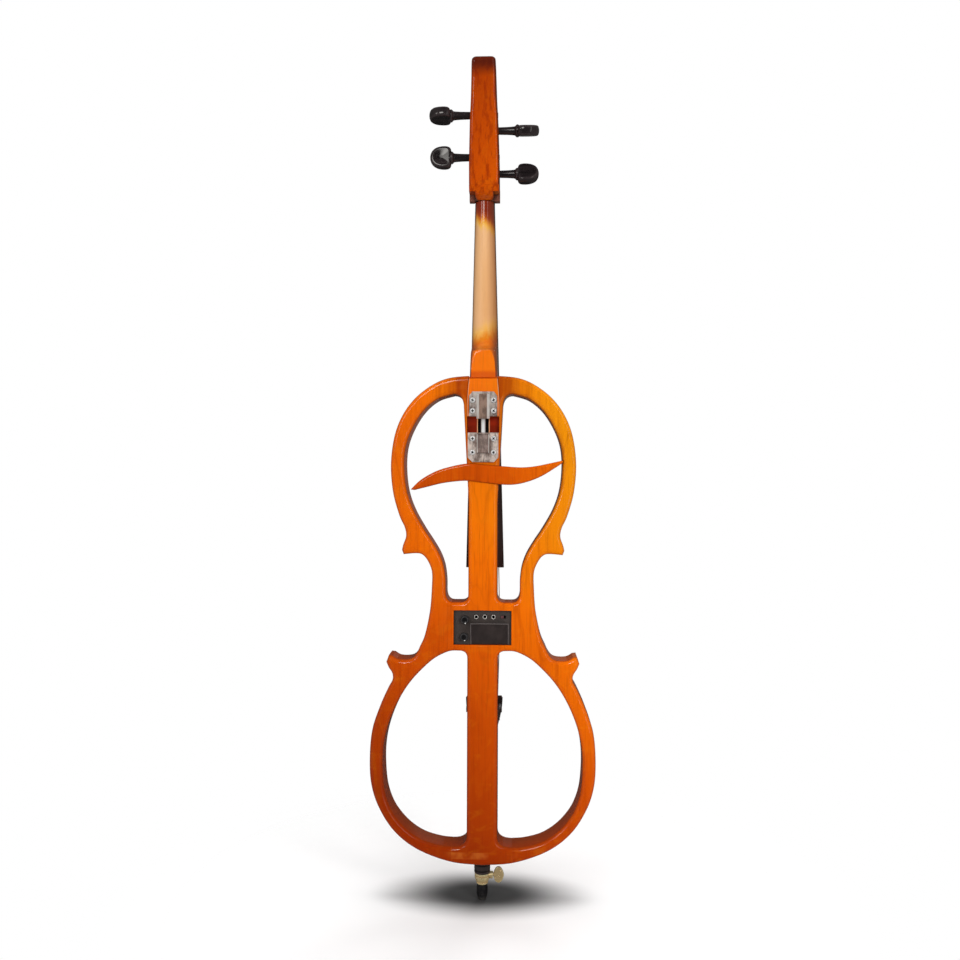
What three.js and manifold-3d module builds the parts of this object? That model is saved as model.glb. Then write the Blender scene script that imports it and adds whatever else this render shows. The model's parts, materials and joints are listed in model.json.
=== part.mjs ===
// An electric cello: an open wooden frame with a neck, four strings and a control unit.
// Millimetres, +Z up. The back of the instrument faces -Y and the strings lie towards +Y.
// Inside the file, y = 0 is the back face of the frame and z = 0 its lower end.
// The finished group is shifted so that its origin lies under the shoulders, where a hanger holds it.

import * as THREE from "three";
import { mergeVertices } from "three/addons/utils/BufferGeometryUtils.js";
import Module from "manifold-3d";

const wasm = await Module();
wasm.setup();

// Frame
const BODY_LENGTH = 755;
const BODY_THICKNESS = 50;
const UPPER_BOUT_WIDTH = 285.6;
const WAIST_WIDTH = 158;
const LOWER_BOUT_WIDTH = 348.4;
const BAND_WIDTH = 21;
const TOP_BAND = 29;
const BOTTOM_BAND = 28;
const WAIST_BLOCK_HEIGHT = 75;
const EDGE_ROUNDING = 2.5;
const CENTRE_BOARD_WIDTH = 94;
const SPINE_WIDTH = 44.6;
const SPINE_HEAD_WIDTH = 60;
const LOWER_SPINE_WIDTH = 47;
const SLOT_CORNER_RADIUS = 12;
const SPINE_FLARE = 16;
const WAIST_CENTRE_SHARE = 0.4868;
const SPINE_TAPER_SHARES = [0.7417, 0.9325];
const LOWER_STATION_SHARE = 0.238;
const WAIST_STATION_SHARE = 0.57;
const UPPER_STATION_SHARE = 0.834;

// Fits
const FIT_GAP = 0.3;
const OVERRUN = 5;
const PLACEMENT_TOLERANCE = 1e-4;

// Facets around round pieces, from large to small
const FINE_SIDES = 24;
const ROUND_SIDES = 20;
const SMALL_SIDES = 16;
const THIN_SIDES = 12;
const TINY_SIDES = 10;

// Bar across the upper ring
const BAR_REACH = 123.1;
const BAR_RISE = 46.3;
const BAR_BRACKET_GAP = 3.8;
const BAR_MIDDLE_SHARE = 0.851;
const BAR_THICKNESS = 18;
const BAR_PROUD = 4;

// Neck and heel
const BOARD_SLOPE = 0.09;
const NECK_FACE_AT_NUT = 47;
const NECK_TOP = 1032;
const NECK_DEPTH_AT_NUT = 17.5;
const NECK_DEPTH_AT_HEEL = 22;
const HEEL_SWEEP_HEIGHT = 75;
const HEEL_PROUD = 3;
const HEEL_SEAT_DEPTH = 35;
const HEEL_NECK_WIDTH = 41;
const NECK_INSET = 1;
const HEEL_INSET = 3.2;
const HEEL_WIDTH = 49.2;
const HEEL_WIDENING = 20;
const HEEL_GROOVE = 2.4;
const HEEL_END_DROP = 64;
const TONGUE_DROP = 88.5;
const TONGUE_DEPTH = 8;

// Fingerboard and nut
const BOARD_LENGTH = 582;
const BOARD_WIDTH_AT_NUT = 31;
const BOARD_WIDTH_AT_END = 62;
const BOARD_EDGE = 9;
const BOARD_RADIUS = 65;
const NUT_THICKNESS = 6;
const NUT_RISE = 2.2;

// Pegbox and shoulder block
const PEGBOX_HEIGHT = 200.5;
const PEGBOX_WIDTH = 48;
const PEGBOX_TILT = 15;
const PEGBOX_THICKNESS = 36;
const PEGBOX_BACK_WALL = 9;
const PEGBOX_CHEEK = 9;
const SHOULDER_HEIGHT = 18;
const SHOULDER_DEPTH = 13;
const SHOULDER_SEAT = 1;
const HANGER_INSET = 1;

// Pegs: the heights of their axes above the neck's top, and how many degrees each is turned
const PEG_HEIGHTS = { right_lower: 38.5, left_lower: 62.6, right_upper: 99.7, left_upper: 121.7 };
const PEG_ANGLES = { right_lower: -27, left_lower: 0, right_upper: 106, left_upper: 74 };
const PEG_RADIUS = 5.5;
const PEG_END_RADIUS = 4.6;
const PEG_AXIS_DEPTH = 14.5;
const PEG_HEAD_LENGTH = 35.5;
const PEG_HEAD_WIDTH = 34.8;
const PEG_HEAD_THICKNESS = 15;
const PEG_HEAD_BEVEL = 3;
const PEG_STEM_LENGTH = 27;
const PEG_COLLAR_RADIUS = 7.5;
const PEG_COLLAR_LENGTH = 8;

// Strings
const STRING_RADII = { c: 0.85, g: 0.7, d: 0.55, a: 0.4 };
const STRING_SPACING_AT_NUT = 8;
const STRING_SPACING_AT_BRIDGE = 16;
const STRING_SPACING_AT_TAIL = 14.4;
const WINDING_TURNS = 2.5;
const WINDING_PITCH = 2.6;
const WINDING_STEPS_A_TURN = 14;
const STRING_SIDES = 5;

// Bridge and pickup
const BRIDGE_RISE = 17;
const BRIDGE_FOOT_WIDTH = 88;
const BRIDGE_TOP_WIDTH = 59;
const BRIDGE_HEIGHT = 81.6;
const BRIDGE_FOOT_THICKNESS = 11;
const BRIDGE_TOP_THICKNESS = 3;
const BRIDGE_RADIUS = 57;
const BRIDGE_HEART_RADIUS = 6;
const PICKUP_LENGTH = 92;
const PICKUP_WIDTH = 14;
const PICKUP_THICKNESS = 2;

// Tailpiece with its tuners
const TAIL_LENGTH = 231;
const TAIL_TOP_WIDTH = 60;
const TAIL_THICKNESS = 9;
const TAIL_TILT = 7.4;
const TAIL_TOP_HEIGHT = 241;
const TAIL_TOP_DEPTH = 97;
const TAIL_RIDGE_HEIGHT = 2;
const TAIL_RIDGE_WIDTH = 3;
const TAIL_EDGE = 1;
const TUNER_SCREW_RADIUS = 2;
const TUNER_HEAD_RADIUS = 4.5;
const TUNER_HEAD_HEIGHT = 6;
const TUNER_SCREW_PLACE = 34;
const TUNER_FORK_PLACE = 14.5;
const TUNER_AXLE_PLACE = 21;
const TUNER_AXLE_DROP = 6;
const TUNER_AXLE_RADIUS = 1.5;
const TUNER_LEVER_WIDTH = 8;
const TUNER_LEVER_THICKNESS = 3;
const TUNER_SLOT_LENGTH = 10;
const TUNER_EAR_THICKNESS = 3;
const TUNER_EAR_DEPTH = 9;
const TUNER_EAR_LENGTH = 9;
const TUNER_FORK_RISE = 2.5;
const TUNER_ARM_CUT = 1;
const TAIL_CORD_RADIUS = 1.5;
const TAIL_CORD_SPACING = 10;
const TAIL_CORD_HOLE_DEPTH = 12;
const SADDLE_WIDTH = 40;
const SADDLE_HEIGHT = 8;
const SADDLE_DEPTH = 8;

// Neck bracket
const BRACKET_WIDTH = 47;
const UPPER_BRACKET_HEIGHT = 38;
const LOWER_BRACKET_HEIGHT = 45.3;
const BRACKET_PLATE = 2.5;
const BRACKET_CHAMFER = 7;
const CHANNEL_WIDTH = 20;
const CHANNEL_RISE = 4.5;
const CHANNEL_OVERHANG = 3.7;
const CHANNEL_CROWN_SHARE = 0.6;
const BOSS_WIDTH = 18.4;
const BOSS_HEIGHT = 29.2;
const BOSS_RISE = 3;
const BOSS_EDGE = 1;
const ROD_RADIUS = 3.7;
const ROD_DEPTH = 4.2;
const ROD_REACH = 21;
const ROD_SLOT_WIDTH = 16.8;
const ROD_SLOT_DEPTH = 14;
const SCREW_SPREAD = 16.2;
const UPPER_SCREW_ROWS = [0.22, 0.65];
const LOWER_SCREW_ROWS = [0.2, 0.67];
const SCREW_HEAD_RADIUS = 4.4;
const SCREW_HEAD_HEIGHT = 2.4;
const SCREW_RADIUS = 1.8;
const SCREW_LENGTH = 14;

// Control unit
const PANEL_WIDTH = 89;
const PANEL_HEIGHT = 53;
const PANEL_CENTRE_DROP = 1;
const PANEL_RECESS = 4;
const POCKET_DEPTH = 30;
const HOUSING_FACE = 12;
const HOUSING_WALL = 3;
const DOOR_WIDTH = 59.6;
const DOOR_HEIGHT = 32;
const DOOR_THICKNESS = 2.2;
const DOOR_EDGE_MARGIN = 4;
const DOOR_BARREL_RADIUS = 1.6;
const DOOR_RIM = 1.2;
const BATTERY_LENGTH = 48.5;
const BATTERY_WIDTH = 26.5;
const BATTERY_THICKNESS = 15.5;
const KNOB_RADIUS = 6.5;
const KNOB_HEIGHT = 7;
const KNOB_CROWN_SHARE = 0.6;
const KNOB_SHAFT_RADIUS = 3;
const KNOB_PLACES = [[-27.5, 12], [-28.5, -14.5]];
const JACK_RADIUS = 3.3;
const JACK_BARREL_RADIUS = 2.55;
const JACK_BORE_RADIUS = 1.8;
const JACK_LENGTH = 12;
const JACK_END_WALL = 1;
const JACK_STAND = 1.2;
const JACK_SPACING = 13.2;
const JACK_ROW_PLACE = [-9.8, 16.2];
const SWITCH_PLACE = [30.2, 16.2];
const SWITCH_WIDTH = 5;
const SWITCH_HEIGHT = 4;
const SWITCH_TRAVEL = 3;
const SWITCH_STAND = 1.6;
const SWITCH_DEPTH = 4;
const CIRCUIT_THICKNESS = 1.6;

// Endpin
const PLUG_RADIUS = 12.5;
const PLUG_FLANGE_HEIGHT = 18;
const PLUG_SHANK_RADIUS = 11;
const PLUG_SHANK_END_RADIUS = 9.5;
const PLUG_SHANK_LENGTH = 35;
const COLLAR_RADIUS = 11.8;
const COLLAR_END_RADIUS = 8;
const COLLAR_HEIGHT = 17;
const COLLAR_WAIST_SHARE = 0.45;
const THUMB_BOSS_RADIUS = 6;
const THUMB_BOSS_REACH = 17;
const PIN_RADIUS = 5;
const PIN_LENGTH = 350;
const PIN_BORE_GAP = 1;
const PIN_BORE_WALL = 18;
const PIN_END_ROOM = 5;
const PIN_TIP_LENGTH = 23;
const PIN_TIP_RADIUS = 8.6;
const PIN_TIP_GAP = 1.4;
const PIN_TIP_WALL = 10;
const THUMB_SCREW_RADIUS = 2.5;
const THUMB_SCREW_DROP = 22;
const THUMB_WING_WIDTH = 16;
const THUMB_WING_HEIGHT = 27;
const THUMB_WING_THICKNESS = 5;
const THUMB_WING_EDGE = 1;
const THUMB_WING_START = 18;
const THUMB_STEM_END = 20;

// Outlines as shares: across the guide half-width, then up the body's length
const UPPER_OUTLINE_SHARES = [
  [0, 1], [0.382, 0.9942], [0.639, 0.9698], [0.828, 0.9332], [0.951, 0.8844], [1.0205, 0.8225],
  [1.1136, 0.7624], [1.1407, 0.7136], [1.125, 0.6893], [1.151, 0.6709], [1.2485, 0.6526], [1.298, 0.6424],
];
const WAIST_OUTLINE_SHARES = [
  [1.3, 0.6335], [1.0937, 0.6356], [0.9946, 0.6331], [0.9356, 0.6209], [0.9173, 0.5987],
  [0.9855, 0.5669], [0.8687, 0.5184], [0.8263, 0.4697], [0.8429, 0.4453], [0.8547, 0.4326],
  [0.889, 0.422], [0.965, 0.4183], [1.07, 0.4193], [1.158, 0.4258],
];
const LOWER_OUTLINE_SHARES = [
  [1.2, 0.4127], [1.1412, 0.4017], [1.0673, 0.3894], [1.035, 0.3762], [1.0467, 0.3599], [1.0555, 0.3233],
  [1.04, 0.2744], [1, 0.2185], [0.9874, 0.1642], [0.9208, 0.1159], [0.7842, 0.0672], [0.5769, 0.0305],
  [0.2819, 0.0061], [0, 0],
];
const LOWER_CORNER_SHARE = [1.208, 0.4268];

// Openings as shares: across the guide half-width less the band, then up the opening
const UPPER_OPENING_SHARES = [
  [0.378, 1], [0.584, 0.975], [0.766, 0.916], [0.91, 0.827], [0.987, 0.738], [1.058, 0.6355],
  [1.1275, 0.5296], [1.129, 0.4408], [1.0616, 0.352], [0.985, 0.2928], [0.9134, 0.2327],
  [0.892, 0.1735], [0.9395, 0.109], [0.9375, 0.0548],
];
const LOWER_OPENING_SHARES = [
  [0.372, 1], [0.54, 0.996], [0.74, 0.959], [0.882, 0.899], [0.972, 0.838], [1.0228, 0.768], [1.043, 0.6854],
  [1.035, 0.596], [0.9987, 0.5033], [1.005, 0.404], [0.9856, 0.288], [0.9334, 0.2017], [0.858, 0.1384],
  [0.744, 0.0778], [0.6005, 0.0315], [0.431, 0.0066], [0.3, 0],
];

// The bar's edges as shares of its reach and of its rise
const BAR_UPPER_SHARES = [
  [-0.905, 0.019], [-0.781, 0.335], [-0.611, 0.6], [-0.444, 0.756], [-0.194, 0.888], [0.03, 0.847],
  [0.254, 0.8], [0.474, 0.765], [0.641, 0.8], [0.808, 0.888], [1, 1],
];
const BAR_LOWER_SHARES = [
  [1, 0.93], [0.89, 0.732], [0.725, 0.4665], [0.557, 0.287], [0.3916, 0.192], [0.223, 0.192],
  [0.017, 0.25], [-0.194, 0.311], [-0.361, 0.287], [-0.527, 0.2225], [-0.6946, 0.112], [-0.862, 0],
];

const WAIST_TOP = BODY_LENGTH * WAIST_CENTRE_SHARE + WAIST_BLOCK_HEIGHT / 2;
const WAIST_BOTTOM = WAIST_TOP - WAIST_BLOCK_HEIGHT;
const PANEL_CENTRE = WAIST_TOP - WAIST_BLOCK_HEIGHT / 2 - PANEL_CENTRE_DROP;
const BODY_MIDDLE = BODY_THICKNESS / 2;
const BRIDGE_PLACE = WAIST_BOTTOM + BRIDGE_RISE;
const PIN_BORE_LENGTH = WAIST_BOTTOM - PIN_BORE_WALL;
const HANGER = new THREE.Vector3(0, NECK_FACE_AT_NUT - HANGER_INSET, NECK_TOP);

const flat = (x, y) => new THREE.Vector2(x, y);
const spot = (x, y, z) => new THREE.Vector3(x, y, z);
const radians = THREE.MathUtils.degToRad;

// Materials, from the colours of the real instrument
function finish(color, roughness, metalness = 0) {
  return new THREE.MeshStandardMaterial({ color, roughness, metalness });
}

const lacquer = () => finish(0xd2650f, 0.2);
const bareMaple = () => finish(0xe1aa78, 0.45);
const ebony = () => finish(0x1e1a19, 0.35);
const darkStain = () => finish(0x4b3230, 0.4);
const blackPlastic = () => finish(0x2a2624, 0.4);
const nickel = () => finish(0xaaa096, 0.3, 1);
const chrome = () => finish(0xd8d8d8, 0.12, 1);
const brass = () => finish(0xc8a56e, 0.28, 1);
const rubber = () => finish(0x18171a, 0.8);
const stringSteel = () => finish(0xb0b0b4, 0.3, 1);

// Solids and geometries
function toSolid(geometry) {
  const bare = geometry.clone();
  bare.deleteAttribute("normal");
  bare.deleteAttribute("uv");
  const merged = mergeVertices(bare, PLACEMENT_TOLERANCE);
  const corners = merged.index.array;
  const kept = [];
  for (let i = 0; i < corners.length; i += 3) {
    const [a, b, c] = [corners[i], corners[i + 1], corners[i + 2]];
    if (a !== b && b !== c && c !== a) kept.push(a, b, c);
  }
  return new wasm.Manifold(new wasm.Mesh({
    numProp: 3,
    vertProperties: merged.attributes.position.array,
    triVerts: Uint32Array.from(kept),
  }));
}

function toGeometry(solid) {
  const mesh = solid.getMesh();
  const geometry = new THREE.BufferGeometry();
  geometry.setAttribute("position", new THREE.BufferAttribute(mesh.vertProperties, 3));
  geometry.setIndex(new THREE.BufferAttribute(mesh.triVerts, 1));
  geometry.computeVertexNormals();
  return geometry;
}

function box(xs, ys, zs) {
  const geometry = new THREE.BoxGeometry(xs[1] - xs[0], ys[1] - ys[0], zs[1] - zs[0]);
  geometry.translate((xs[0] + xs[1]) / 2, (ys[0] + ys[1]) / 2, (zs[0] + zs[1]) / 2);
  return toSolid(geometry);
}

// Extrudes a drawn shape along X (drawn in y, z), Y (drawn in x, z) or Z (drawn in x, y).
const TURN_TO_AXIS = {
  x: new THREE.Matrix4().makeBasis(spot(0, 1, 0), spot(0, 0, 1), spot(1, 0, 0)),
  y: new THREE.Matrix4().makeBasis(spot(1, 0, 0), spot(0, 0, 1), spot(0, -1, 0)),
  z: new THREE.Matrix4(),
};

function extrude(shape, axis, from, to, bevel = 0, curveSegments = 6) {
  const geometry = new THREE.ExtrudeGeometry(shape, {
    depth: to - from - 2 * bevel,
    steps: 1,
    curveSegments,
    bevelEnabled: bevel > 0,
    bevelThickness: bevel,
    bevelSize: bevel,
    bevelOffset: -bevel,
    bevelSegments: 1,
  });
  geometry.translate(0, 0, bevel);
  geometry.applyMatrix4(TURN_TO_AXIS[axis]);
  const start = axis === "y" ? to : from;
  geometry.translate(axis === "x" ? start : 0, axis === "y" ? start : 0, axis === "z" ? start : 0);
  return toSolid(geometry);
}

// A turned piece about an axis through the origin: its profile is [radius, place] from low to high.
function turned(profile, axis, sides = ROUND_SIDES) {
  const geometry = new THREE.LatheGeometry(profile.map(([radius, place]) => flat(radius, place)), sides);
  if (axis === "z") geometry.rotateX(Math.PI / 2);
  if (axis === "x") geometry.rotateZ(-Math.PI / 2);
  return toSolid(geometry);
}

function bar(axis, radius, from, to, sides = ROUND_SIDES, endRadius = radius) {
  return turned([[0, from], [radius, from], [endRadius, to], [0, to]], axis, sides);
}

// Joins rings of points, each with as many points, into one closed skin.
function loft(rings) {
  const count = rings[0].length;
  const points = rings.flat();
  const faces = [];
  for (let ring = 0; ring + 1 < rings.length; ring += 1) {
    for (let i = 0; i < count; i += 1) {
      const a = ring * count + i;
      const b = ring * count + (i + 1) % count;
      faces.push(a, b, b + count, a, b + count, a + count);
    }
  }
  const last = (rings.length - 1) * count;
  for (let i = 1; i + 1 < count; i += 1) {
    faces.push(0, i + 1, i, last, last + i, last + i + 1);
  }
  const geometry = new THREE.BufferGeometry().setFromPoints(points);
  geometry.setIndex(faces);
  return toSolid(geometry);
}

// A route that passes straight from point to point, so that each point is one step of a tube.
class Route extends THREE.Curve {
  constructor(points) {
    super();
    this.points = points;
  }

  getPoint(share) {
    const place = share * (this.points.length - 1);
    const index = Math.min(Math.floor(place + PLACEMENT_TOLERANCE), this.points.length - 2);
    return this.points[index].clone().lerp(this.points[index + 1], place - index);
  }

  getPointAt(share) {
    return this.getPoint(share);
  }

  getTangentAt(share) {
    const index = Math.round(share * (this.points.length - 1));
    const before = this.points[Math.max(index - 1, 0)];
    const here = this.points[index];
    const after = this.points[Math.min(index + 1, this.points.length - 1)];
    const arriving = here.clone().sub(before).normalize();
    const leaving = after.clone().sub(here).normalize();
    return arriving.add(leaving).normalize();
  }
}

function tube(points, radius, sides) {
  const ring = new THREE.Shape();
  for (let i = 0; i < sides; i += 1) {
    const angle = (2 * Math.PI * i) / sides;
    const corner = [radius * Math.cos(angle), radius * Math.sin(angle)];
    if (i === 0) ring.moveTo(...corner);
    else ring.lineTo(...corner);
  }
  const route = new Route(points);
  const geometry = new THREE.ExtrudeGeometry(ring, {
    steps: points.length - 1,
    extrudePath: route,
    bevelEnabled: false,
  });
  return toSolid(geometry);
}

function polygon(points) {
  return new THREE.Shape(points.map(([x, y]) => flat(x, y)));
}

function mirrored(points) {
  return points.map((point) => flat(-point.x, point.y)).reverse();
}

const cello = new THREE.Group();

function add(name, solid, material, parent = cello, place = spot(0, 0, 0)) {
  const mesh = new THREE.Mesh(toGeometry(solid), material);
  mesh.name = name;
  mesh.position.copy(place);
  parent.add(mesh);
  return mesh;
}

// Frame outline: the guide is the half-width that the outline's shares follow
function guideHalfWidth(z) {
  const stations = [
    [LOWER_STATION_SHARE * BODY_LENGTH, LOWER_BOUT_WIDTH / 2],
    [WAIST_STATION_SHARE * BODY_LENGTH, WAIST_WIDTH / 2],
    [UPPER_STATION_SHARE * BODY_LENGTH, UPPER_BOUT_WIDTH / 2],
  ];
  const [low, middle, high] = stations;
  const [from, to] = z < middle[0] ? [low, middle] : [middle, high];
  const share = THREE.MathUtils.clamp((z - from[0]) / (to[0] - from[0]), 0, 1);
  return THREE.MathUtils.lerp(from[1], to[1], share);
}

function outlinePoint([xShare, zShare]) {
  const z = zShare * BODY_LENGTH;
  return flat(-xShare * guideHalfWidth(z), z);
}

// Runs down the left side and up the right one, so that openings can be cut from it
function bodyShape() {
  const waist = WAIST_OUTLINE_SHARES.map(outlinePoint);
  const corner = outlinePoint(LOWER_CORNER_SHARE);
  const lowerHalf = LOWER_OUTLINE_SHARES.map(outlinePoint);
  const upperHalf = UPPER_OUTLINE_SHARES.map(outlinePoint);
  const lower = [...lowerHalf, ...mirrored(lowerHalf).slice(1)];
  const upper = [...mirrored(upperHalf), ...upperHalf.slice(1)];
  const shape = new THREE.Shape();
  shape.moveTo(waist[0].x, waist[0].y);
  shape.splineThru(waist.slice(1));
  shape.lineTo(corner.x, corner.y);
  shape.lineTo(lower[0].x, lower[0].y);
  shape.splineThru(lower.slice(1));
  shape.lineTo(-corner.x, corner.y);
  shape.lineTo(-waist[waist.length - 1].x, waist[waist.length - 1].y);
  shape.splineThru(mirrored(waist).slice(1));
  shape.lineTo(upper[0].x, upper[0].y);
  shape.splineThru(upper.slice(1));
  return shape;
}

function openingPoints(shares, low, high, inset) {
  return shares.map(([xShare, zShare]) => {
    const z = THREE.MathUtils.lerp(low, high, zShare);
    return flat(xShare * (guideHalfWidth(z) - BAND_WIDTH) - inset, z);
  });
}

function upperOpening(side) {
  const low = WAIST_TOP;
  const high = BODY_LENGTH - TOP_BAND;
  const spine = (side * SPINE_WIDTH) / 2;
  const head = (side * SPINE_HEAD_WIDTH) / 2;
  const corner = side * SLOT_CORNER_RADIUS;
  const [taperLow, taperHigh] = SPINE_TAPER_SHARES.map((share) => share * BODY_LENGTH);
  const outer = openingPoints(UPPER_OPENING_SHARES, low, high, 0).map((point) => flat(side * point.x, point.y));
  const last = outer[outer.length - 1];
  const path = new THREE.Path();
  path.moveTo(spine, low + SLOT_CORNER_RADIUS);
  path.lineTo(spine, taperLow);
  path.lineTo(head, taperHigh);
  path.quadraticCurveTo(head, high, outer[0].x, outer[0].y);
  path.splineThru(outer.slice(1));
  path.quadraticCurveTo(last.x, low, last.x - corner, low);
  path.lineTo(spine + corner, low);
  path.quadraticCurveTo(spine, low, spine, low + SLOT_CORNER_RADIUS);
  return path;
}

function lowerOpening(side) {
  const spine = (side * LOWER_SPINE_WIDTH) / 2;
  const outer = openingPoints(LOWER_OPENING_SHARES, BOTTOM_BAND, WAIST_BOTTOM, 0)
    .map((point) => flat(side * point.x, point.y));
  const last = outer[outer.length - 1];
  const path = new THREE.Path();
  path.moveTo(spine, BOTTOM_BAND + SPINE_FLARE);
  path.lineTo(spine, WAIST_BOTTOM - SLOT_CORNER_RADIUS);
  path.quadraticCurveTo(spine, WAIST_BOTTOM, outer[0].x, outer[0].y);
  path.splineThru(outer.slice(1));
  path.lineTo(last.x, last.y);
  path.quadraticCurveTo(spine, BOTTOM_BAND, spine, BOTTOM_BAND + SPINE_FLARE);
  return path;
}

// The bar across the upper ring, drawn a little larger where it is cut from the spine
function barShape(extra) {
  const foot = LOWER_BRACKET_LOW - BAR_BRACKET_GAP - BAR_MIDDLE_SHARE * BAR_RISE;
  const placed = (shares, lift) => shares.map(([x, z]) => flat(x * BAR_REACH, foot + z * BAR_RISE + lift));
  const upper = placed(BAR_UPPER_SHARES, extra);
  const lower = placed(BAR_LOWER_SHARES, -extra);
  const shape = new THREE.Shape();
  shape.moveTo(upper[0].x, upper[0].y);
  shape.splineThru(upper.slice(1));
  shape.lineTo(lower[0].x, lower[0].y);
  shape.splineThru(lower.slice(1));
  return shape;
}

function upperRingInside() {
  const outer = openingPoints(UPPER_OPENING_SHARES, WAIST_TOP, BODY_LENGTH - TOP_BAND, FIT_GAP);
  const shape = new THREE.Shape();
  shape.moveTo(outer[0].x, outer[0].y);
  shape.splineThru(outer.slice(1));
  const left = mirrored(outer);
  shape.lineTo(left[0].x, left[0].y);
  shape.splineThru(left.slice(1));
  return extrude(shape, "y", -OVERRUN - BAR_PROUD, BODY_THICKNESS + OVERRUN, 0, 2);
}

// Heights that the neck, its bracket and the spine share
const HEEL_END = BODY_LENGTH - HEEL_END_DROP;
const TONGUE_END = BODY_LENGTH - TONGUE_DROP;
const MORTISE_END = TONGUE_END - FIT_GAP;
const LOWER_BRACKET_TOP = MORTISE_END;
const LOWER_BRACKET_LOW = LOWER_BRACKET_TOP - LOWER_BRACKET_HEIGHT;
const UPPER_SCREWS = UPPER_SCREW_ROWS.map((row) => HEEL_END + row * UPPER_BRACKET_HEIGHT);
const LOWER_SCREWS = LOWER_SCREW_ROWS.map((row) => LOWER_BRACKET_TOP - row * LOWER_BRACKET_HEIGHT);

function screwHoles(heights, face) {
  let holes = null;
  for (const z of heights) {
    for (const side of [-1, 1]) {
      const hole = bar("y", SCREW_RADIUS + FIT_GAP, face - OVERRUN, face + SCREW_LENGTH + FIT_GAP, TINY_SIDES)
        .translate([side * SCREW_SPREAD, 0, z]);
      holes = holes ? holes.add(hole) : hole;
    }
  }
  return holes;
}

function rodGroove(low, high, face) {
  const half = ROD_RADIUS + FIT_GAP;
  return box([-half, half], [face - OVERRUN, ROD_DEPTH + half], [low, high]);
}

function addFrame() {
  const shape = bodyShape();
  for (const side of [1, -1]) shape.holes.push(upperOpening(side), lowerOpening(side));
  const slab = extrude(shape, "y", 0, BODY_THICKNESS, EDGE_ROUNDING, 2);
  const half = CENTRE_BOARD_WIDTH / 2;
  const depth = [-OVERRUN, BODY_THICKNESS + OVERRUN];
  const height = [-OVERRUN, BODY_LENGTH + OVERRUN];
  const centre = box([-half, half], depth, height);
  const far = LOWER_BOUT_WIDTH;

  const mortiseHalf = HEEL_WIDTH / 2 + FIT_GAP;
  const mortise = box([-mortiseHalf, mortiseHalf], [-OVERRUN, HEEL_SEAT_DEPTH + FIT_GAP], [MORTISE_END, height[1]]);
  const notch = extrude(barShape(FIT_GAP), "y", -OVERRUN, BAR_THICKNESS - BAR_PROUD + FIT_GAP, 0, 2);
  const pocket = box(
    [-PANEL_WIDTH / 2, PANEL_WIDTH / 2],
    [-OVERRUN, POCKET_DEPTH],
    [PANEL_CENTRE - PANEL_HEIGHT / 2, PANEL_CENTRE + PANEL_HEIGHT / 2],
  );
  const plugSeat = bar("z", PLUG_SHANK_RADIUS + 2 * FIT_GAP, -OVERRUN, PLUG_SHANK_LENGTH + FIT_GAP, FINE_SIDES,
    PLUG_SHANK_END_RADIUS + FIT_GAP).translate([0, BODY_MIDDLE, 0]);
  const pinBore = bar("z", PIN_RADIUS + PIN_BORE_GAP, 0, PIN_BORE_LENGTH, SMALL_SIDES).translate([0, BODY_MIDDLE, 0]);
  const groove = rodGroove(MORTISE_END - ROD_REACH - FIT_GAP, MORTISE_END + FIT_GAP, 0);
  const spine = slab.intersect(centre)
    .subtract(mortise)
    .subtract(notch)
    .subtract(pocket)
    .subtract(plugSeat)
    .subtract(pinBore)
    .subtract(groove)
    .subtract(screwHoles(LOWER_SCREWS, 0));
  add("spine_board", spine, lacquer());
  add("left_wing", slab.intersect(box([-far, -half], depth, height)), lacquer());
  add("right_wing", slab.intersect(box([half, far], depth, height)), lacquer());
}

function addBar() {
  const solid = extrude(barShape(0), "y", -BAR_PROUD, BAR_THICKNESS - BAR_PROUD, 0, 2);
  add("s_bar", solid.intersect(upperRingInside()), lacquer());
}

// Neck: its front face follows the fingerboard's slope
function boardFace(z) {
  return NECK_FACE_AT_NUT + (NECK_TOP - z) * BOARD_SLOPE;
}

function boardHalfWidth(z) {
  const share = (NECK_TOP - z) / BOARD_LENGTH;
  return THREE.MathUtils.lerp(BOARD_WIDTH_AT_NUT, BOARD_WIDTH_AT_END, share) / 2;
}

const NECK_ROOT = BODY_LENGTH + FIT_GAP;
const HEEL_START = NECK_ROOT + HEEL_SWEEP_HEIGHT;
const NECK_SECTION_STEPS = 12;

// A section of the neck: flat in front, straight sides, and a back that is round or squarer
function neckSection(z, back, inset, roundness, straightShare) {
  const face = boardFace(z) - FIT_GAP;
  const half = boardHalfWidth(z) - inset;
  const middle = face - (face - back) * straightShare;
  const ring = [spot(half, face, z)];
  for (let i = 0; i <= NECK_SECTION_STEPS; i += 1) {
    const angle = (Math.PI * i) / NECK_SECTION_STEPS;
    const across = Math.sign(Math.cos(angle)) * Math.abs(Math.cos(angle)) ** roundness;
    const out = Math.sin(angle) ** roundness;
    ring.push(spot(half * across, middle - (middle - back) * out, z));
  }
  ring.push(spot(-half, face, z));
  return ring;
}

// The heel's sweep: height below its start, reach to the heel's back, squareness and straight sides
const HEEL_SWEEP_SHARES = [
  [0, 0, 1, 0.15], [0.2, 0.13, 0.9, 0.18], [0.335, 0.37, 0.75, 0.22], [0.43, 0.67, 0.62, 0.26],
  [0.51, 1, 0.55, 0.3], [0.67, 1.13, 0.5, 0.3], [0.87, 1.2, 0.5, 0.3], [1, 1.22, 0.5, 0.3],
];

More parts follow.
